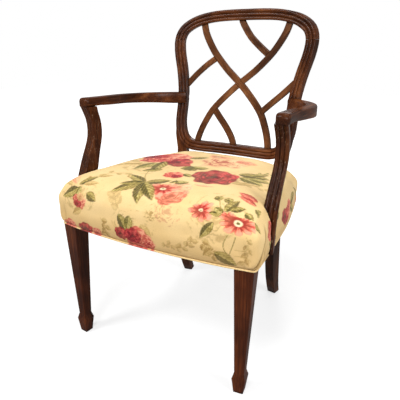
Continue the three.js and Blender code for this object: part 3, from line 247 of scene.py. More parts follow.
# Back posts: each is one piece with its rear leg, cut from a wide board to the sabre curve and
# worked with a reeded face above the seat. They are stained and polished a little browner than the
# front legs.
upright_mahogany = polished_wood("mahogany_upright", 2, *FRAME_TONES)
for side in ("right", "left"):
    finish_node(f"back_post_{side}", upright_mahogany)


# Crest rail and lower back rail: reeded lengths of mahogany across the back, tenoned to the posts.
# Their grain runs from side to side.
across_mahogany = polished_wood("mahogany_across", 0, *FRAME_TONES)
finish_node("crest_rail", across_mahogany)
finish_node("lower_back_rail", across_mahogany)


# Lattice: thin flat laths bent to the hollow of the back, halved over each other and tenoned in.
# They are polished a little warmer and lighter than the frame.
LATH_TONES = ((0.022, 0.0075, 0.0028), (0.112, 0.042, 0.0145), (0.25, 0.115, 0.045))
LATH_LEAN = math.radians(38.0)


def mesh_points(mesh):
    flat = np.empty(len(mesh.vertices) * 3)
    mesh.vertices.foreach_get("co", flat)
    return flat.reshape(-1, 3)


def lath_lean(name):
    """1 where a lath climbs to the right, -1 where it climbs to the left."""
    points = mesh_points(nodes[name].data)
    level = points[:, 2] - points[:, 2].mean()
    return math.copysign(1.0, float((points[:, 0] - points[:, 0].mean()) @ level))


lath_woods = {lean: polished_wood(f"lattice_mahogany_{side}", 2, *LATH_TONES, -lean * LATH_LEAN)
              for lean, side in ((1.0, "right"), (-1.0, "left"))}
for name in nodes:
    if name.startswith("lath_"):
        finish_node(name, lath_woods[lath_lean(name)])


# Arms and their supports: the arms run forward to rounded noses, and the supports sweep down to
# the side rails. Screws hold both, and a turned plug hides each screw behind the post. Wear has left
# small pale scuffs on the supports.
along_mahogany = polished_wood("mahogany_along", 1, *FRAME_TONES)
scuffed_mahogany = polished_wood("mahogany_scuffed", 2, *FRAME_TONES, scuffs=0.4)
for side in ("right", "left"):
    finish_node(f"arm_{side}", along_mahogany)
    finish_node(f"arm_support_{side}", scuffed_mahogany)
    finish_node(f"arm_plug_{side}", along_mahogany)


# Seat frame: plain sawn beech rails and corner blocks, left unpolished because the cover hides them.
# Steel screws hold the blocks and the arm supports.
BEECH_PALE = (0.56, 0.36, 0.19)
BEECH_FLECK = (0.36, 0.2, 0.09)
BEECH_SCALE = 70.0
BEECH_SQUEEZE = 9.0
STEEL_GREY = (0.36, 0.35, 0.33)
STEEL_DARK = (0.24, 0.23, 0.21)
STEEL_SCALE = 900.0


def sawn_beech():
    material, tree, shader = shader_tree("sawn_beech")
    laid = stretched(tree, object_place(tree), (1.0, 1.0, BEECH_SQUEEZE))
    fleck = noise(tree, laid, BEECH_SCALE, 5.0)
    colour = ramp(tree, fleck, [(0.35, BEECH_FLECK), (0.6, BEECH_PALE)])
    rough = bumped(tree, fleck, 0.3, 0.0005)
    feed(tree, shader, {"Base Color": colour, "Normal": rough, "Roughness": 0.72})
    return material


def screw_steel():
    material, tree, shader = shader_tree("screw_steel")
    marks = noise(tree, object_place(tree), STEEL_SCALE, 2.0)
    colour = ramp(tree, marks, [(0.3, STEEL_DARK), (0.7, STEEL_GREY)])
    gloss = ranged(tree, marks, 0.0, 1.0, 0.28, 0.5)
    feed(tree, shader, {"Base Color": colour, "Roughness": gloss, "Metallic": 1.0})
    return material


beech = sawn_beech()
steel = screw_steel()
for name in nodes:
    if name.startswith(("seat_rail", "corner_block")):
        finish_node(name, beech)
    if "screw" in name:
        finish_node(name, steel)


# Webbing, hessian and dust cover: woven jute strips and cloth that carry the stuffing, and a plain
# black lining tacked under the rails.
JUTE_PALE = (0.36, 0.24, 0.12)
JUTE_DARK = (0.16, 0.1, 0.045)
LINING_DARK = (0.011, 0.0105, 0.01)
LINING_PALE = (0.02, 0.019, 0.018)
JUTE_THREADS = 160.0
LINING_THREADS = 420.0


def weave(tree, place, threads, distortion):
    """The height of a plain weave: two sets of threads that pass over and under each other."""
    sets = [add_node(tree, "TexWave", {"Vector": place, "Scale": threads, "Distortion": distortion},
                     wave_type="BANDS", bands_direction=axis).outputs["Fac"] for axis in "XY"]
    return calculated(tree, "MULTIPLY", *sets)


def woven_cloth(name, pale, dark, threads, relief):
    """Unprinted cloth in plain weave, with uneven slubs."""
    material, tree, shader = shader_tree(name)
    place = object_place(tree)
    cross = weave(tree, place, threads, 0.4)
    slubs = calculated(tree, "MULTIPLY", cross, noise(tree, place, threads * 2.0, 3.0))
    colour = ramp(tree, slubs, [(0.02, dark), (0.45, pale)])
    raised = bumped(tree, cross, relief, 0.0008)
    feed(tree, shader, {"Base Color": colour, "Normal": raised, "Roughness": 0.92})
    return material


jute = woven_cloth("woven_jute", JUTE_PALE, JUTE_DARK, JUTE_THREADS, 0.6)
lining = woven_cloth("black_lining", LINING_PALE, LINING_DARK, LINING_THREADS, 0.3)
for name in nodes:
    if name.startswith("webbing") or name == "hessian":
        finish_node(name, jute)
finish_node("dust_cover", lining)


# Seat cover: stuffed and pulled over the frame, rounded at the edges, with pleats at each front
# corner and a notch around each post and arm support. The shape follows the CAD cover's outside, but
# for the corners, where the stuffing has sunk.
SEAT_PLAN = ((0.0, 0.0), (0.2, 0.001), (0.401, 0.007), (0.602, 0.015), (0.784, 0.026), (0.917, 0.037),
             (0.984, 0.044), (1.009, 0.056), (1.017, 0.085), (1.023, 0.136), (1.035, 0.262),
             (1.044, 0.4), (1.054, 0.582), (1.042, 0.765), (1.014, 0.895), (0.992, 0.965),
             (0.967, 0.99), (0.913, 1.0), (0.626, 1.0), (0.313, 1.0), (0.0, 1.0))
SEAT_HALF_WIDTH = 0.299
SEAT_NARROWING = 0.06
SEAT_FRONT = -0.3135
SEAT_DEPTH = 0.514
SEAT_MIDDLE = -0.0565
SEAT_BULGE = 0.01
SEAT_CORNER_DROP = 0.016
BULGE_TOP = 0.446
CROWN_TOP = 0.513
SEAT_SIDES = ((0.3674, 0.0), (0.387, 0.36), (0.4145, 0.85), (0.446, 1.0), (0.466, 0.62), (0.486, -0.5))
SEAT_CROWN = ((0.955, 0.4952), (0.885, 0.5014), (0.77, 0.5065), (0.6, 0.5098), (0.36, 0.5122),
              (0.14, 0.513))
PLAN_STEPS = 12
PROFILE_STEPS = 4
VOXEL = 0.006
FINE_VOXEL = 0.0021
PUFF_FRAMES = 20
PUFF_LIMIT = 0.003
PUFF_INSET = 0.3
PUFF_FREE = (0.38, 0.41)
PUFF_CLOTH = {"vertex_group_mass": "sewn", "quality": 5, "mass": 0.3, "tension_stiffness": 18.0,
              "compression_stiffness": 18.0, "shear_stiffness": 8.0, "bending_stiffness": 0.6,
              "use_pressure": True, "uniform_pressure_force": 4.0}
PINNED_BELOW = 0.376
RECESS_INSET = 0.0048
RECESS_TOP = 0.4347
RECESS_BOTTOM = 0.34
TRIM_REACH = 0.03
TRIM_BOTTOM = 0.33
CUT_CLEARANCE = 0.0012
NOTCH_BACK = 0.04
HEM_SPARE = 0.008


def flowing(points, steps, closed):
    """Points of a Catmull-Rom curve through the given points, with some steps between each pair."""
    points = np.array(points, dtype=float)
    count = len(points)
    spans = count if closed else count - 1
    pick = (lambda i: points[i % count]) if closed else (lambda i: points[min(max(i, 0), count - 1)])
    out = []
    for i in range(spans):
        a, b, c, d = pick(i - 1), pick(i), pick(i + 1), pick(i + 2)
        for t in np.arange(steps) / steps:
            out.append(0.5 * (2 * b + (c - a) * t + (2 * a - 5 * b + 4 * c - d) * t * t
                              + (3 * b - a - 3 * c + d) * t ** 3))
    if not closed:
        out.append(points[-1])
    return np.array(out)


def seat_plan():
    """The seat's outline seen from above, counter-clockwise, and its outward directions."""
    right = [(x * (SEAT_HALF_WIDTH - back * SEAT_NARROWING), SEAT_FRONT + back * SEAT_DEPTH)
             for x, back in SEAT_PLAN]
    left = [(-x, y) for x, y in right[-2:0:-1]]
    outline = flowing(right + left, PLAN_STEPS, True)
    along = np.roll(outline, -1, 0) - np.roll(outline, 1, 0)
    along /= np.linalg.norm(along, axis=1)[:, None]
    return outline, np.stack([along[:, 1], -along[:, 0]], 1)


def cushion_rings():
    """Rings of the closed cushion from its bottom edge to its middle, one row of points for each."""
    outline, outward = seat_plan()
    middle = np.array([0.0, SEAT_MIDDLE])
    rings = [np.column_stack([outline + outward * out * SEAT_BULGE, np.full(len(outline), z)])
             for z, out in SEAT_SIDES]
    rings += [np.column_stack([middle + (outline - middle) * shrink, np.full(len(outline), z)])
              for shrink, z in SEAT_CROWN]
    rings = flowing(np.array(rings).reshape(len(rings), -1), PROFILE_STEPS, False)
    rings = rings.reshape(len(rings), -1, 3)
    rise = np.clip((rings[:, :, 2] - BULGE_TOP) / (CROWN_TOP - BULGE_TOP), 0.0, 1.0)
    back = (rings[:, :, 1] - SEAT_FRONT) / SEAT_DEPTH
    rings[:, :, 2] -= SEAT_CORNER_DROP * rise * back * (rings[:, :, 0] / SEAT_HALF_WIDTH) ** 2
    return rings, outward


def closed_loft(name, rings):
    """A mesh object with quads between the rings and a fan of triangles at either end."""
    count = rings.shape[1]
    points = [tuple(p) for p in rings.reshape(-1, 3)]
    faces = []
    for ring in range(len(rings) - 1):
        for i in range(count):
            j = (i + 1) % count
            low, high = ring * count, (ring + 1) * count
            faces.append((low + i, low + j, high + j, high + i))
    for ring, turn in ((0, -1), (len(rings) - 1, 1)):
        hub = len(points)
        points.append(tuple(rings[ring].mean(0)))
        for i in range(count):
            j = (i + 1) % count
            pair = (ring * count + i, ring * count + j)[::turn]
            faces.append((*pair, hub))
    mesh = bpy.data.meshes.new(name)
    mesh.from_pydata(points, [], faces)
    return placed(name, mesh)


def applied(piece):
    """Fixes an object's modifiers into its mesh."""
    made = bpy.data.meshes.new_from_object(piece.evaluated_get(bpy.context.evaluated_depsgraph_get()))
    piece.modifiers.clear()
    piece.data = made


def set_mesh_points(mesh, points):
    mesh.vertices.foreach_set("co", np.ascontiguousarray(points).ravel())
    mesh.update()


def mesh_normals(mesh):
    flat = np.empty(len(mesh.vertices) * 3)
    mesh.vertex_normals.foreach_get("vector", flat)
    return flat.reshape(-1, 3)


def remeshed(piece, size):
    """Rebuilds a closed mesh from even faces of about the given size."""
    even = piece.modifiers.new("even", "REMESH")
    even.mode = "VOXEL"
    even.voxel_size = size
    applied(piece)


def puffed(piece):
    """Blows the cushion up against its cloth, then keeps each point near where it began."""
    before = mesh_points(piece.data)
    sewn = piece.vertex_groups.new(name="sewn")
    sewn.add([int(i) for i in np.nonzero(before[:, 2] < PINNED_BELOW)[0]], 1.0, "REPLACE")
    cloth = piece.modifiers.new("puff", "CLOTH")
    for key, value in PUFF_CLOTH.items():
        setattr(cloth.settings, key, value)
    cloth.settings.effector_weights.gravity = 0.0
    cloth.collision_settings.use_collision = False
    cloth.point_cache.frame_start = 1
    cloth.point_cache.frame_end = PUFF_FRAMES
    for step in range(1, PUFF_FRAMES + 1):
        scene.frame_set(step)
    applied(piece)
    scene.frame_set(1)
    moved = mesh_points(piece.data) - before
    length = np.linalg.norm(moved, axis=1, keepdims=True)
    keep = PUFF_LIMIT * np.tanh(length / PUFF_LIMIT) / np.maximum(length, 1e-9)
    set_mesh_points(piece.data, before + moved * keep)


def cut_away(piece, cutter):
    cut = piece.modifiers.new("cut", "BOOLEAN")
    cut.operation = "DIFFERENCE"
    cut.solver = "MANIFOLD"
    cut.object = cutter
    applied(piece)
    bpy.data.objects.remove(cutter)


def grown_copies(name, grow, shifts):
    """Copies of a node's solid, grown outward by a little and shifted, to cut with."""
    solid = bmesh.new()
    solid.from_mesh(nodes[name].data)
    bmesh.ops.remove_doubles(solid, verts=solid.verts, dist=MERGE_GAP)
    solid.normal_update()
    made = []
    for shift in shifts:
        copy = solid.copy()
        for vert in copy.verts:
            vert.co += vert.normal * grow + Vector(shift)
        mesh = bpy.data.meshes.new(name + "_cut")
        copy.to_mesh(mesh)
        copy.free()
        made.append(placed(name + "_cut", mesh))
    solid.free()
    return made


PLEAT_FOOT = (0.294, -0.29, 0.367)
PLEAT_SLANT = 0.42
PLEAT_TOP = 0.462
PLEAT_DEPTH = 0.0055
PLEAT_WIDTH = 0.0042
PLEAT_LIP = 0.003
PLEAT_LIP_WIDTH = 0.009
PLEAT_SIDES = (0.262, 0.282)
PLEAT_FADE = 0.03
PLEAT_EASE = 0.01
BACK_PLEAT_STEP = 0.02
BACK_PLEAT_SHARE = 0.6
FRONT_FOLD = 0.272
FRONT_FOLD_SHARE = 0.35
FRONT_FOLD_FADE = (0.45, 0.41)
SHOULDER_FOOT = 0.42
SHOULDER_TOP = 0.485
SUNK_CORNERS = ((0.3, -0.3, 0.06, 0.016), (0.255, 0.145, 0.078, 0.032))
OUTER_CLOTH = (0.24, 0.27)
OUTER_STRETCH = 1.12
PULL_PLACES = ((0.288, -0.17), (-0.288, -0.17), (0.178, 0.185), (-0.178, 0.185))
PULL_HEIGHT = 0.0012
PULL_RIDGES = (9.0, 5.0)
PULL_REACH = 0.05
PULL_START = (0.012, 0.03)
HEM_LINE = 0.3664
HEM_HEIGHT = 0.0052
HEM_TUCK = 0.0032


def eased(low, high, value):
    """A smooth step from 0 to 1 between two values."""
    t = np.clip((value - low) / (high - low), 0.0, 1.0)
    return t * t * (3.0 - 2.0 * t)


def pleat_lines(points):
    """How deep each point lies in a front corner's folds, and in the lips of cloth beside them."""
    x, y, z = points.T
    line = PLEAT_FOOT[1] + (z - PLEAT_FOOT[2]) * PLEAT_SLANT
    reach = eased(*PLEAT_SIDES, np.abs(x)) * eased(PLEAT_TOP + PLEAT_EASE, PLEAT_TOP - PLEAT_FADE, z)
    reach = reach * eased(PLEAT_FOOT[2], PLEAT_FOOT[2] + PLEAT_EASE, z)
    fold = np.exp(-((y - line) / PLEAT_WIDTH) ** 2)
    second = BACK_PLEAT_SHARE * np.exp(-((y - line - BACK_PLEAT_STEP) / PLEAT_WIDTH) ** 2)
    front = FRONT_FOLD_SHARE * np.exp(-((np.abs(x) - FRONT_FOLD) / PLEAT_WIDTH) ** 2)
    second += front * (y < line) * eased(*FRONT_FOLD_FADE, z)
    lip = np.exp(-((y - line + PLEAT_LIP_WIDTH) / PLEAT_LIP_WIDTH) ** 2)
    lip += np.exp(-((y - line - PLEAT_LIP_WIDTH) / PLEAT_LIP_WIDTH) ** 2)
    return (fold + second) * reach, lip * reach


def sunk_corners(points):
    """How far the stuffing has sunk with wear at the four corners of the seat's top."""
    sunk = np.zeros(len(points))
    for x, y, reach, depth in SUNK_CORNERS:
        away = np.hypot(np.abs(points[:, 0]) - x, points[:, 1] - y)
        sunk += depth * np.exp(-(away / reach) ** 2)
    return sunk * eased(SHOULDER_FOOT, SHOULDER_TOP, points[:, 2])


def pleats_and_pulls(cushion):
    """Sinks the corners, folds the front ones and pulls the cloth toward each post and support."""
    points = mesh_points(cushion.data)
    points[:, 2] -= sunk_corners(points)
    set_mesh_points(cushion.data, points)
    normals = mesh_normals(cushion.data)
    radius = np.hypot(points[:, 0], (points[:, 1] - SEAT_MIDDLE) * OUTER_STRETCH)
    outer = eased(*OUTER_CLOTH, radius)
    fold, lip = pleat_lines(points)
    lift = (PLEAT_LIP * lip - PLEAT_DEPTH * fold) * outer
    for x, y in PULL_PLACES:
        away = np.hypot(points[:, 0] - x, points[:, 1] - y)
        turn = np.arctan2(points[:, 1] - y, points[:, 0] - x)
        ridges = np.sin(turn * PULL_RIDGES[0] + 17.0 * x) * 0.6 + np.sin(turn * PULL_RIDGES[1] + 0.8) * 0.4
        lift += PULL_HEIGHT * ridges * np.exp(-(away / PULL_REACH) ** 2) * eased(*PULL_START, away)
    lift -= HEM_TUCK * np.exp(-((points[:, 2] - HEM_LINE) / HEM_HEIGHT) ** 2) * outer
    set_mesh_points(cushion.data, points + normals * lift[:, None])


def seat_cushion():
    rings, outward = cushion_rings()
    start = rings.copy()
    start[:, :, :2] -= outward * (PUFF_LIMIT * PUFF_INSET * eased(*PUFF_FREE, start[:, :, 2:3]))
    below = start[:1].copy()
    below[:, :, 2] -= HEM_SPARE
    cushion = closed_loft("seat_cushion", np.concatenate([below, start]))
    remeshed(cushion, VOXEL)
    puffed(cushion)
    finer = cushion.modifiers.new("finer", "SUBSURF")
    finer.levels = 1
    finer.render_levels = 1
    applied(cushion)
    remeshed(cushion, FINE_VOXEL)
    pleats_and_pulls(cushion)
    for grow, bottom, top in ((TRIM_REACH, TRIM_BOTTOM, rings[0, 0, 2]),
                              (-RECESS_INSET, RECESS_BOTTOM, RECESS_TOP)):
        edge = rings[0].copy()
        edge[:, :2] += outward * grow
        low, high = edge.copy(), edge.copy()
        low[:, 2] = bottom
        high[:, 2] = top
        cut_away(cushion, closed_loft("recess", np.array([low, high])))
    for side in ("right", "left"):
        shifts = ((0, 0, 0), (0, NOTCH_BACK, 0))
        for cutter in grown_copies(f"back_post_{side}", CUT_CLEARANCE, shifts):
            cut_away(cushion, cutter)
        for cutter in grown_copies(f"arm_support_{side}", CUT_CLEARANCE, ((0, 0, 0),)):
            cut_away(cushion, cutter)
    return cushion, rings, outward


seat_cushion_piece, cushion_shape, plan_outward = seat_cushion()
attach(seat_cushion_piece, "root")
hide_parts("seat_cover", "seat_pad")


# Floral print: loose bouquets of roses, open blossoms and leaves on cream cotton, laid out on the flat
# cloth, in millimetres from the seat's middle line. The cloth runs down over each edge.
def dye(red, green, blue):
    return np.array([((c / 255 + 0.055) / 1.055) ** 2.4 for c in (red, green, blue)])


CREAM = dye(241, 211, 155)
# Painted shade in the front corners' folds and in the tuck above the hem: its colour, its share in a fold
# and at the hem, and the heights of the hem's shade.
FOLD_SHADE = np.array([0.6, 0.66, 0.8])
CREASE_SHARE = 1.5
HEM_SHARE = 0.5
HEM_SHADED = (0.3712, 0.3676)
# Painted shade: the cover darkens toward its bottom, from the first height down to the second.
PAINTED_LOW_SHADE_DEPTH = np.array([0.16, 0.22, 0.3])
PAINTED_LOW_SHADE_RANGE = (0.46, 0.37)
WASH_DEPTH = np.array([0.04, 0.08, 0.16])
CRIMSON = (dye(86, 2, 18), dye(152, 20, 36), dye(220, 80, 80))
ROSE_PINK = (dye(158, 30, 42), dye(220, 92, 82), dye(250, 178, 148))
CORAL = (dye(164, 30, 32), dye(228, 98, 82), dye(250, 170, 140))
BLUSH = (dye(214, 124, 98), dye(238, 180, 140), dye(246, 208, 162))
OLIVE = (dye(66, 60, 18), dye(142, 124, 54), dye(216, 196, 122))
MOSS = (dye(90, 84, 32), dye(162, 146, 74), dye(222, 204, 136))
STRAW = (dye(172, 138, 78), dye(206, 174, 110), dye(230, 202, 140))
PATCH_GRID = 64


def patchy(places, cell, seed):
    """Soft uneven values from 0 to 1 over the cloth, for dye that took more in some places."""
    table = np.random.default_rng(seed).random((PATCH_GRID, PATCH_GRID))
    scaled = places / cell
    base = np.floor(scaled).astype(int)
    part = scaled - base
    part = part * part * (3.0 - 2.0 * part)
    pick = [[table[(base[:, 0] + i) % PATCH_GRID, (base[:, 1] + j) % PATCH_GRID] for j in (0, 1)]
            for i in (0, 1)]
    low = pick[0][0] * (1 - part[:, 1]) + pick[0][1] * part[:, 1]
    high = pick[1][0] * (1 - part[:, 1]) + pick[1][1] * part[:, 1]
    return low * (1 - part[:, 0]) + high * part[:, 0]


def toned(tones, value):
    """Colours from a dye's dark, middle and light tones for values from 0 to 1."""
    value = np.clip(value, 0.0, 1.0)[:, None]
    low = tones[0] + (tones[1] - tones[0]) * np.clip(value * 2.0, 0.0, 1.0)
    return low + (tones[2] - tones[1]) * np.clip(value * 2.0 - 1.0, 0.0, 1.0)


class Print:
    """The cloth's printed colours, painted motif by motif."""

    def __init__(self, places):
        self.places = places
        wash = patchy(places, 70.0, 3)[:, None] * 0.5 + patchy(places, 26.0, 4)[:, None] * 0.5
        self.colour = CREAM * (1.0 - WASH_DEPTH * wash)
        self.fine = patchy(places, 3.5, 5)
        self.broad = patchy(places, 14.0, 9)

    def lay(self, centre, reach, turn, shape, tones, strength=1.0):
        """Paints the shape's cover and tone around a centre, in its own turned axes."""
        near = np.nonzero(np.hypot(*(self.places - centre).T) < reach * 1.35)[0]
        if not len(near):
            return
        x, y = (self.places[near] - centre).T / reach
        c, s = math.cos(math.radians(turn)), math.sin(math.radians(turn))
        cover, tone = shape(x * c + y * s, y * c - x * s, self.fine[near], self.broad[near])
        cover = (np.clip(cover, 0.0, 1.0) * strength * (0.86 + 0.14 * self.broad[near]))[:, None]
        self.colour[near] = self.colour[near] * (1 - cover) + toned(tones, tone) * cover

    def rose(self, centre, reach, turn, tones, squash=1.0, strength=1.0, lines=False):
        """Overlapping rings of petals with dark creases and lit rims; as lines alone where it is faint."""
        def shape(x, y, fine, broad):
            y = y / squash
            r, angle = np.hypot(x, y), np.arctan2(y, x)
            rim = 1.0 + 0.06 * np.sin(5 * angle + 1.3) + 0.045 * np.sin(9 * angle + 0.4)
            rim += 0.05 * (fine - 0.5)
            cover = eased(rim, rim - 0.07, r)
            tone = np.full(len(r), 0.3)
            for size, petals, phase in ((1.0, 7, 0.2), (0.78, 6, 1.0), (0.56, 5, 2.1), (0.34, 3, 0.6)):
                edge = size * rim * (1.0 + 0.1 * np.cos(petals * (angle - phase)))
                share = r / edge
                lit = -0.08 + 1.12 * share ** 2.6 - 0.75 * eased(0.9, 1.0, share)
                lit += 0.2 * np.cos(petals * (angle - phase) + 2.0 * r) + 0.24 * np.sin(angle + 1.1)
                lit += 0.2 * np.sin(16.0 * r / size + 3.0 * angle + 5.0 * size)
                tone = np.where(share < 1.0, lit, tone)
            tone = tone - 0.25 * eased(0.2, 0.05, r) + 0.4 * (fine - 0.5) + 0.2 * (broad - 0.5)
            if lines:
                cover = cover * eased(0.45, 0.1, tone)
            return cover, tone
        self.lay(centre, reach, turn, shape, tones, strength)

    def blossom(self, centre, reach, turn, tones, petals=9, squash=1.0, strength=1.0):
        """An open flower with separate petals around a pale eye."""
        def shape(x, y, fine, broad):
            y = y / squash
            r, angle = np.hypot(x, y), np.arctan2(y, x)
            lobe = np.abs(np.cos(petals * angle / 2))
            length = 0.88 + 0.12 * np.sin(3 * angle + 0.7)
            edge = length * (0.62 + 0.38 * lobe ** 0.5) + 0.03 * (fine - 0.5)
            cover = eased(edge, edge - 0.06, r)
            tone = 1.0 - 0.85 * eased(0.62, 0.2, r) - 0.9 * (1 - lobe) ** 1.2
            tone -= 0.5 * np.cos(1.5 * petals * angle) ** 4 * eased(0.95, 0.3, r)
            tone += 0.25 * eased(edge - 0.22, edge - 0.1, r) - 0.75 * eased(edge - 0.09, edge, r)
            tone += 0.2 * np.sin(angle + 2.2) + 0.34 * (fine - 0.5)
            return cover, tone

        def eye(size, tone):
            def disc(x, y, fine, broad):
                return eased(1.0, size, np.hypot(x, y / 0.7)), tone + 0.4 * (fine - 0.5)
            return disc
        self.lay(centre, reach, turn, shape, tones, strength)
        self.lay(centre, reach * 0.2, turn, eye(0.75, 0.8), (STRAW[2], CREAM, dye(252, 240, 206)), strength)
        self.lay(centre, reach * 0.09, turn, eye(0.6, 0.2), OLIVE, strength)

    def leaf(self, root, tip, width, tones, strength=1.0):
        """A pointed leaf with a pale midrib and slanting veins."""
        root, tip = np.array(root, float), np.array(tip, float)
        length = float(np.linalg.norm(tip - root))
        turn = math.degrees(math.atan2(*(tip - root)[::-1]))

        def shape(x, y, fine, broad):
            along = (x + 1.0) / 2.0
            inside = np.clip(along, 0.0, 1.0)
            half = 2.0 * width / length * np.sin(math.pi * inside ** 0.8) ** 0.85
            half *= 1.0 + 0.12 * np.abs(np.sin(inside * 20.0))
            cover = eased(half + 0.03, half - 0.05, np.abs(y)) * (along > 0) * (along < 1)
            vein = eased(0.3, 0.9, np.sin((inside - np.abs(y) * 0.9) * 38.0))
            tone = 0.45 + 0.26 * np.sign(y) * eased(0.0, 0.05, np.abs(y)) + 0.4 * (vein - 0.5)
            tone += 0.5 * eased(0.045, 0.0, np.abs(y)) + 0.4 * (fine - 0.5) + 0.24 * (broad - 0.5)
            tone -= 0.45 * eased(half * 0.72, half, np.abs(y))
            return cover, tone
        self.lay((root + tip) / 2, length / 2, turn, shape, tones, strength)

    def stem(self, points, width, tones, strength=1.0):
        """A thin line through some points."""
        line = flowing(points, 8, False)
        for start, end in zip(line[:-1], line[1:]):
            middle, span = (start + end) / 2, float(np.linalg.norm(end - start))
            turn = math.degrees(math.atan2(*(end - start)[::-1]))
            wide = width / (span / 2)

            def shape(x, y, fine, broad):
                cover = eased(wide, wide * 0.3, np.abs(y)) * eased(1.12, 0.98, np.abs(x))
                return cover, 0.35 + 0.5 * (fine - 0.3)
            self.lay(middle, span / 2, turn, shape, tones, strength)

    def spray(self, points, leaf_length, width, tones, strength=1.0):
        """A thin stem with pairs of small leaves."""
        self.stem(points, 1.1, tones, strength)
        line = flowing(points, 3, False)
        for i in range(1, len(line)):
            along = (line[i] - line[i - 1]) / np.linalg.norm(line[i] - line[i - 1])
            side = np.array([-along[1], along[0]]) * (1 if i % 2 else -1)
            self.leaf(line[i], line[i] + (along * 0.7 + side * 0.7) * leaf_length, width, tones, strength)


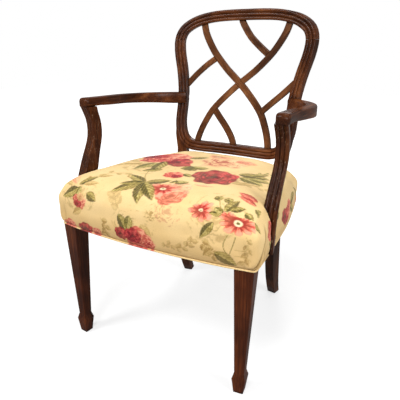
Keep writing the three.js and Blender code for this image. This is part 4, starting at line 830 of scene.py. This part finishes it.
def print_cloth(places):
    """The whole print, cluster by cluster, the faint far flowers first."""
    cloth = Print(places)
    rose, blossom, leaf, stem, spray = cloth.rose, cloth.blossom, cloth.leaf, cloth.stem, cloth.spray
    for centre, reach, turn in (((-110, -110), 92, 0), ((180, -60), 76, 50), ((190, -290), 88, 80),
                                ((-204, -310), 78, 20), ((-20, -380), 70, 10)):
        rose(centre, reach, turn, STRAW, 0.8, 0.55, True)
    rose((66, 34), 76, 30, BLUSH, 0.85, 0.6)
    rose((62, 38), 70, 30, CORAL, 0.85, 0.8, True)
    rose((118, 66), 34, 10, CORAL, 0.6, 0.6)
    blossom((16, 84), 44, 0, CORAL, 8, 0.6, 0.6)
    rose((76, -322), 40, 0, CORAL, 0.9, 0.45, True)
    rose((34, -332), 26, 50, STRAW, 0.9, 0.9, True)
    rose((66, -272), 42, 40, CORAL, 0.8, 0.85)
    rose((60, -226), 36, 0, BLUSH, 0.9, 0.9)
    leaf((-236, -124), (-166, -84), 9, STRAW)
    leaf((-176, -70), (-226, -60), 8, STRAW)
    spray([(-250, -132), (-210, -108), (-160, -96)], 24, 7, STRAW)
    spray([(-60, -345), (-76, -322), (-92, -300)], 26, 10, STRAW, 0.6)
    leaf((-160, 150), (-90, 140), 16, OLIVE, 0.8)
    leaf((-84, 136), (-20, 160), 14, MOSS, 0.8)
    rose((-124, 0), 86, 20, ROSE_PINK, 0.8)
    rose((-172, 16), 44, 20, CRIMSON, 0.8)
    rose((-62, -36), 52, 0, CRIMSON, 0.9)
    rose((-118, -22), 34, 40, ROSE_PINK, 0.9)
    rose((-2, -154), 30, 10, CORAL, 0.9)
    rose((12, -160), 16, 10, CRIMSON, 0.9)
    blossom((28, -252), 46, 15, CORAL, 8, 0.85)
    leaf((-52, 20), (-6, 60), 14, OLIVE)
    leaf((-24, -86), (54, -56), 26, MOSS)
    leaf((-100, -44), (-74, -156), 19, OLIVE)
    leaf((-58, -124), (-104, -162), 14, OLIVE)
    leaf((-116, -66), (-136, -156), 20, MOSS)
    leaf((-150, -92), (-214, -116), 12, STRAW)
    rose((104, -116), 64, 34, CRIMSON, 0.98)
    leaf((146, -54), (230, -34), 22, OLIVE)
    leaf((160, -76), (234, -96), 20, MOSS)
    leaf((184, -72), (242, -58), 15, MOSS, 0.9)
    leaf((176, -44), (214, 2), 12, OLIVE, 0.85)
    spray([(186, -20), (204, 10), (226, 20)], 15, 5, MOSS, 0.9)
    leaf((160, -136), (222, -108), 11, STRAW, 0.8)
    leaf((18, -132), (50, -150), 10, OLIVE)
    stem([(24, -184), (44, -200), (70, -196)], 1.8, OLIVE)
    leaf((34, -208), (66, -186), 13, MOSS)
    leaf((40, -190), (22, -214), 8, OLIVE)
    for tip, width in (((-118, -200), 15), ((-104, -298), 17), ((-102, -262), 13), ((20, -196), 16),
                       ((-12, -320), 18), ((28, -302), 16)):
        leaf((-38, -236), tip, width, OLIVE)
    stem([(-38, -236), (-70, -190), (-84, -150)], 1.6, OLIVE)
    stem([(-210, -292), (-190, -246), (-167, -212), (-123, -192)], 1.7, MOSS, 0.9)
    leaf((-188, -244), (-150, -226), 9, STRAW)
    leaf((262, -206), (206, -186), 14, CORAL)
    leaf((268, -226), (214, -208), 10, CORAL)
    spray([(170, -124), (215, -118), (252, -112)], 22, 6, STRAW, 0.7)
    leaf((84, -194), (140, -188), 8, BLUSH, 0.7)
    spray([(-215, -290), (-176, -212), (-112, -206)], 22, 6, STRAW)
    leaf((-222, -288), (-182, -246), 11, OLIVE)
    leaf((-206, -284), (-160, -276), 9, STRAW)
    leaf((-276, -240), (-232, -286), 12, BLUSH, 0.8)
    leaf((-290, -270), (-240, -300), 10, STRAW)
    leaf((-204, -300), (-222, -352), 13, MOSS)
    leaf((-212, -306), (-270, -336), 15, OLIVE)
    leaf((-176, -316), (-140, -334), 13, OLIVE)
    rose((-202, -342), 26, 0, ROSE_PINK, 0.9, 0.9)
    rose((-208, -350), 15, 0, CRIMSON, 0.8, 0.85)
    rose((-196, -328), 15, 30, STRAW, 0.9, 0.7)
    leaf((-196, -364), (-238, -384), 9, STRAW)
    blossom((158, -298), 39, 52, CORAL, 8, 0.82)
    blossom((244, -310), 60, -8, CORAL, 10, 0.56)
    leaf((190, -322), (164, -368), 11, OLIVE)
    leaf((208, -294), (174, -304), 8, OLIVE)
    leaf((212, -290), (186, -280), 9, MOSS)
    leaf((214, -284), (230, -234), 12, OLIVE)
    leaf((224, -276), (256, -256), 8, OLIVE)
    stem([(206, -288), (192, -262), (182, -246)], 1.5, OLIVE)
    rose((181, -244), 12, 0, OLIVE)
    rose((206, -244), 12, 40, OLIVE)
    leaf((258, -270), (294, -282), 11, OLIVE)
    leaf((290, -280), (334, -268), 11, OLIVE)
    leaf((272, -236), (300, -246), 10, MOSS)
    stem([(229, -344), (222, -372), (236, -394)], 1.6, OLIVE)
    stem([(248, -344), (244, -372), (239, -394)], 1.6, OLIVE)
    spray([(168, -368), (182, -386), (204, -402)], 20, 7, STRAW)
    leaf((204, -394), (264, -416), 15, OLIVE, 0.9)
    leaf((196, -386), (176, -412), 9, STRAW)
    spray([(270, -336), (282, -366), (278, -400)], 20, 6, STRAW, 0.8)
    stem([(250, -376), (272, -374), (300, -378)], 1.4, STRAW)
    stem([(252, -392), (276, -390), (300, -394)], 1.4, STRAW)
    leaf((-64, -356), (-38, -400), 14, OLIVE)
    leaf((-30, -354), (-36, -398), 12, MOSS)
    leaf((2, -372), (36, -400), 12, STRAW)
    spray([(-126, -376), (-112, -398), (-118, -420)], 20, 7, STRAW)
    rose((-8, -412), 42, 10, ROSE_PINK, 0.8)
    rose((-20, -406), 26, 10, CRIMSON, 0.9)
    rose((-60, -408), 22, 0, CRIMSON, 0.9)
    rose((26, -420), 18, 0, ROSE_PINK)
    rose((-196, -421), 32, 10, CRIMSON, 0.6)
    rose((-152, -426), 20, 40, ROSE_PINK, 0.7)
    rose((-264, -418), 26, 10, ROSE_PINK, 0.7)
    spray([(104, -412), (130, -398), (146, -380)], 18, 6, STRAW, 0.8)
    spray([(66, -420), (84, -406), (110, -410)], 14, 5, STRAW, 0.7)
    for side in (1, -1):
        rose((side * 346, -66), 40, 70 * side, CRIMSON, 0.6)
        rose((side * 330, -30), 26, 40, ROSE_PINK, 0.9)
        leaf((side * 322, -10), (side * 300, 50), 14, OLIVE)
        leaf((side * 330, -8), (side * 352, 44), 12, MOSS)
        spray([(side * 372, -20), (side * 386, 10), (side * 380, 50)], 16, 5, STRAW, 0.8)
        blossom((side * 352, 108), 40, 20, CORAL, 9, 0.85)
        leaf((side * 320, 100), (side * 286, 70), 10, OLIVE)
        leaf((side * 374, 130), (side * 392, 170), 9, MOSS)
        rose((side * 345, -200), 30, 0, ROSE_PINK, 0.8)
        leaf((side * 330, -170), (side * 318, -128), 9, OLIVE)
        leaf((side * 372, -214), (side * 392, -180), 9, MOSS)
    rose((120, 290), 34, 0, CRIMSON, 0.8)
    rose((-110, 262), 36, 0, ROSE_PINK, 0.8)
    blossom((20, 268), 38, 0, CORAL, 9, 0.8)
    leaf((86, 280), (50, 300), 9, OLIVE)
    leaf((-74, 270), (-36, 296), 10, OLIVE)
    leaf((-140, 280), (-150, 320), 10, MOSS)
    spray([(60, 310), (20, 322), (-20, 318)], 15, 5, STRAW)
    spray([(-60, 130), (-90, 160), (-130, 172)], 18, 6, STRAW)
    blossom((20, 150), 34, 0, CORAL, 8, 0.8, 0.8)
    leaf((44, 140), (90, 150), 10, MOSS)
    leaf((-10, 140), (-46, 120), 10, OLIVE)
    return cloth.colour


def cloth_places(points, rings, outward):
    """Where each point lies on the flat cloth, in metres: the top as it is, the sides let down."""
    crown = PROFILE_STEPS * len(SEAT_SIDES)
    flat = rings[:, :, :2].copy()
    for ring in range(crown - 1, -1, -1):
        step = np.linalg.norm(rings[ring] - rings[ring + 1], axis=1)
        flat[ring] = flat[ring + 1] + outward * step[:, None]
    count = rings.shape[1]
    corners = [tuple(p) for p in rings.reshape(-1, 3)]
    faces = [(r * count + i, r * count + (i + 1) % count, (r + 1) * count + (i + 1) % count)
             for r in range(len(rings) - 1) for i in range(count)]
    faces += [(r * count + i, (r + 1) * count + (i + 1) % count, (r + 1) * count + i)
              for r in range(len(rings) - 1) for i in range(count)]
    guide = BVHTree.FromPolygons(corners, faces)
    flat = flat.reshape(-1, 2)
    corners = np.array(corners)
    found = np.array([guide.find_nearest(p)[2] for p in points])
    picked = np.array(faces)[found]
    a, b, c = corners[picked[:, 0]], corners[picked[:, 1]], corners[picked[:, 2]]
    across = np.cross(b - a, c - a)
    area = np.maximum((across ** 2).sum(1), 1e-18)
    toward_b = (np.cross(points - a, c - a) * across).sum(1) / area
    toward_c = (np.cross(b - a, points - a) * across).sum(1) / area
    share = np.clip(np.stack([1 - toward_b - toward_c, toward_b, toward_c], 1), 0.0, 1.0)
    share /= share.sum(1, keepdims=True)
    return (flat[picked] * share[:, :, None]).sum(1)


def dressed_cloth(piece, rings, outward, wear_and_painted_shade=1.0):
    """Writes the print and the flat cloth places onto the piece's points, with painted shade in its folds,
    at its hem and toward its bottom, as strong as the last argument says.
    """
    points = mesh_points(piece.data)
    places = cloth_places(points, rings, outward)
    colour = np.ones((len(points), 4))
    fold, lip = pleat_lines(points)
    creased = np.clip(CREASE_SHARE * fold + HEM_SHARE * eased(*HEM_SHADED, points[:, 2]), 0.0, 1.0)
    low_painted_shade = eased(*PAINTED_LOW_SHADE_RANGE, points[:, 2])
    shade = (1.0 - wear_and_painted_shade * FOLD_SHADE * creased[:, None]) * (1.0 - wear_and_painted_shade * PAINTED_LOW_SHADE_DEPTH * low_painted_shade[:, None])
    colour[:, :3] = print_cloth(places * 1000.0) * shade
    layer = piece.data.color_attributes.new("print", "FLOAT_COLOR", "POINT")
    layer.data.foreach_set("color", colour.ravel())
    lie = piece.data.attributes.new("cloth_place", "FLOAT_VECTOR", "POINT")
    lie.data.foreach_set("vector", np.column_stack([places, np.zeros(len(places))]).ravel())


COTTON_THREADS = 330.0
COTTON_SLUBS = 420.0


def printed_cotton(name):
    """Printed cotton: the print from the points, over a fine weave with slubs and a soft sheen."""
    material, tree, shader = shader_tree(name)
    colour = add_node(tree, "Attribute", attribute_name="print").outputs["Color"]
    lie = add_node(tree, "Attribute", attribute_name="cloth_place").outputs["Vector"]
    cross = weave(tree, lie, COTTON_THREADS, 0.5)
    threads = ramp(tree, cross, [(0.0, (0.9, 0.89, 0.87)), (0.5, WHITE)])
    slub = noise(tree, lie, COTTON_SLUBS, 3.0)
    uneven = ramp(tree, slub, [(0.3, (0.93, 0.92, 0.9)), (0.7, (1.03, 1.03, 1.02))])
    wear_and_painted_shade = noise(tree, lie, 14.0, 4.0)
    faded = ramp(tree, wear_and_painted_shade, [(0.3, (0.95, 0.93, 0.9)), (0.7, (1.02, 1.02, 1.02))])
    for layer in (threads, uneven, faded):
        colour = mixed(tree, 1.0, colour, layer, "MULTIPLY")
    feed(tree, shader, {"Base Color": colour, "Normal": bumped(tree, cross, 0.25, 0.0004),
                        "Roughness": 0.82, "Sheen Weight": 0.05, "Sheen Roughness": 0.5,
                        "Specular IOR Level": 0.25})
    return material


dressed_cloth(seat_cushion_piece, cushion_shape, plan_outward)
floral_cotton = printed_cotton("floral_cotton")
seat_cushion_piece.data.materials.clear()
seat_cushion_piece.data.materials.append(floral_cotton)
seat_cushion_piece.data.shade_smooth()


# Seat welts: the same cloth sewn over cord, along the cover's bottom edge between the posts and arm
# supports. Each is a round tube swept along the run of the edge that its CAD welt takes.
WELT_RADIUS = 0.0024
WELT_HEIGHT = 0.3645
WELT_SIDES = 12
WELT_MATCH = 1.6
WELT_TUCK = 0.0002
WELT_NODES = [name for name in nodes if name.startswith("seat_welt")]


def cord_tree():
    """Sweeps a round cord along a path of edges and gives it its cloth."""
    sockets = {"Path": "Geometry", "Radius": "Float", "Cloth": "Material"}
    tree, given, made = node_group("sewn_cord", sockets, "Cord")
    path = geometry_step(tree, "MeshToCurve", {"Mesh": given["Path"]})
    round_section = {"Resolution": WELT_SIDES, "Radius": given["Radius"]}
    ring = geometry_step(tree, "CurvePrimitiveCircle", round_section)
    cord = geometry_step(tree, "CurveToMesh", {"Curve": path, "Profile Curve": ring, "Fill Caps": True})
    smooth = geometry_step(tree, "SetShadeSmooth", {"Geometry": cord})
    dressed = geometry_step(tree, "SetMaterial", {"Geometry": smooth, "Material": given["Cloth"]})
    tree.links.new(dressed, made["Cord"])
    return tree


def welt_run(name, outline):
    """The points of the cover's edge that lie in a CAD welt, from one end of it to the other."""
    solid = nodes[name]
    inside = []
    for x, y in outline:
        found, place, normal, face = solid.closest_point_on_mesh((x, y, WELT_HEIGHT))
        away = (Vector((x, y, WELT_HEIGHT)) - place).length
        inside.append(found and away < WELT_RADIUS * WELT_MATCH)
    first = next(i for i in range(len(inside)) if inside[i] and not inside[i - 1])
    run = []
    for step in range(len(inside)):
        at = (first + step) % len(inside)
        if not inside[at]:
            break
        run.append(at)
    return run


def sewn_welt(name, outline, outward, cloth):
    """The cord that stands for a CAD welt, just inside the cover's edge."""
    run = welt_run(name, outline)
    places = outline[run] - outward[run] * (WELT_RADIUS + WELT_TUCK)
    path = bpy.data.meshes.new(name + "_cord")
    edges = [(i, i + 1) for i in range(len(run) - 1)]
    path.from_pydata([(x, y, WELT_HEIGHT) for x, y in places], edges, [])
    piece = placed(name + "_cord", path)
    swept = piece.modifiers.new("swept", "NODES")
    swept.node_group = sewn_cord
    set_inputs(swept, radius=WELT_RADIUS, cloth=cloth)
    applied(piece)
    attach(piece, "root")
    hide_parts(name)
    return piece


sewn_cord = cord_tree()
for name in WELT_NODES:
    welt = sewn_welt(name, cushion_shape[0][:, :2], plan_outward, floral_cotton)
    # The welts take the print with no painted shade.
    dressed_cloth(welt, cushion_shape, plan_outward, 0.0)


# Camera, floor and light: the chair stands on a white floor in soft studio light.
CAMERA_PLACE = (0.59761, -1.09355, 0.84820)
CAMERA_AZIMUTH = math.radians(28.90)
CAMERA_PITCH = math.radians(20.04)
CAMERA_ROLL = math.radians(-0.07)
CAMERA_LENS = 38.44
FLOOR_SIZE = 14.0

camera_data = bpy.data.cameras.new("camera")
camera = placed("camera", camera_data)
camera_data.lens = CAMERA_LENS
camera_data.sensor_width = 36.0
camera_data.sensor_fit = "HORIZONTAL"
camera.location = CAMERA_PLACE
camera.rotation_mode = "XYZ"
camera.rotation_euler = (math.pi / 2 - CAMERA_PITCH, CAMERA_ROLL, CAMERA_AZIMUTH)
scene.camera = camera
scene.view_settings.view_transform = "Standard"

FLOOR_PALE = 0.42
FLOOR_NEAR_GLOW = 0.64
FLOOR_FAR_GLOW = 1.0
FLOOR_GLOW_START = 0.5
FLOOR_GLOW_END = 1.6
ROOM_WHITE = (1.0, 0.985, 0.96, 1.0)
ROOM_GLOW = 0.27


def seen_directly(tree):
    """1 for what the camera, a reflection or a clear piece sees, else 0."""
    path = add_node(tree, "LightPath").outputs
    seen = calculated(tree, "MAXIMUM", path["Is Camera Ray"], path["Is Glossy Ray"])
    return calculated(tree, "MAXIMUM", seen, path["Is Transmission Ray"])


def studio_floor():
    """A white floor that keeps the chair's faint shadows and brightens away into the white room."""
    mesh = bpy.data.meshes.new("floor")
    half = FLOOR_SIZE / 2
    corners = [(-half, -half, 0), (half, -half, 0), (half, half, 0), (-half, half, 0)]
    mesh.from_pydata(corners, [], [(0, 1, 2, 3)])
    floor = placed("floor", mesh)
    material, tree, shader = shader_tree("floor_white")
    away = add_node(tree, "VectorMath", {0: object_place(tree)}, operation="LENGTH").outputs["Value"]
    glow = ranged(tree, away, FLOOR_GLOW_START, FLOOR_GLOW_END, FLOOR_NEAR_GLOW, FLOOR_FAR_GLOW)
    shown = calculated(tree, "MULTIPLY", glow, seen_directly(tree))
    feed(tree, shader, {"Base Color": (FLOOR_PALE, FLOOR_PALE, FLOOR_PALE, 1.0), "Roughness": 0.95,
                        "Specular IOR Level": 0.1, "Emission Color": (*WHITE, 1.0),
                        "Emission Strength": shown})
    mesh.materials.append(material)


studio_floor()

world = bpy.data.worlds.new("studio")
scene.world = world
world.use_nodes = True
sky = world.node_tree
sky.nodes.clear()
world_output = sky.nodes.new("ShaderNodeOutputWorld")
backdrop = add_node(sky, "Background", {"Color": (*WHITE, 1.0), "Strength": 1.0})
room = add_node(sky, "Background", {"Color": ROOM_WHITE, "Strength": ROOM_GLOW})
both = add_node(sky, "MixShader", {0: seen_directly(sky), 1: room.outputs[0], 2: backdrop.outputs[0]})
sky.links.new(both.outputs[0], world_output.inputs["Surface"])


# Each lamp's place, the height on the chair's middle that it points at, its width, power and colour.
LAMPS = {"key": ((-1.3, -1.9, 2.8), 0.5, 0.9, 54.0, WHITE),
         "front": ((0.5, -2.6, 1.9), 0.45, 1.0, 36.0, WHITE),
         "side": ((2.4, -0.6, 1.5), 0.45, 1.0, 34.0, (0.95, 0.97, 1.0)),
         "top": ((0.3, 0.3, 3.0), 0.4, 1.1, 23.0, WHITE),
         "behind": ((-0.9, 2.6, 1.7), 0.5, 1.0, 16.0, WHITE)}

for name, (place, aim, size, power, colour) in LAMPS.items():
    light = bpy.data.lights.new(name, "AREA")
    light.shape = "DISK"
    light.size = size
    light.energy = power
    light.color = colour
    lamp = placed(name, light)
    lamp.location = place
    lamp.rotation_euler = (Vector((0.0, 0.0, aim)) - Vector(place)).to_track_quat("-Z", "Y").to_euler()
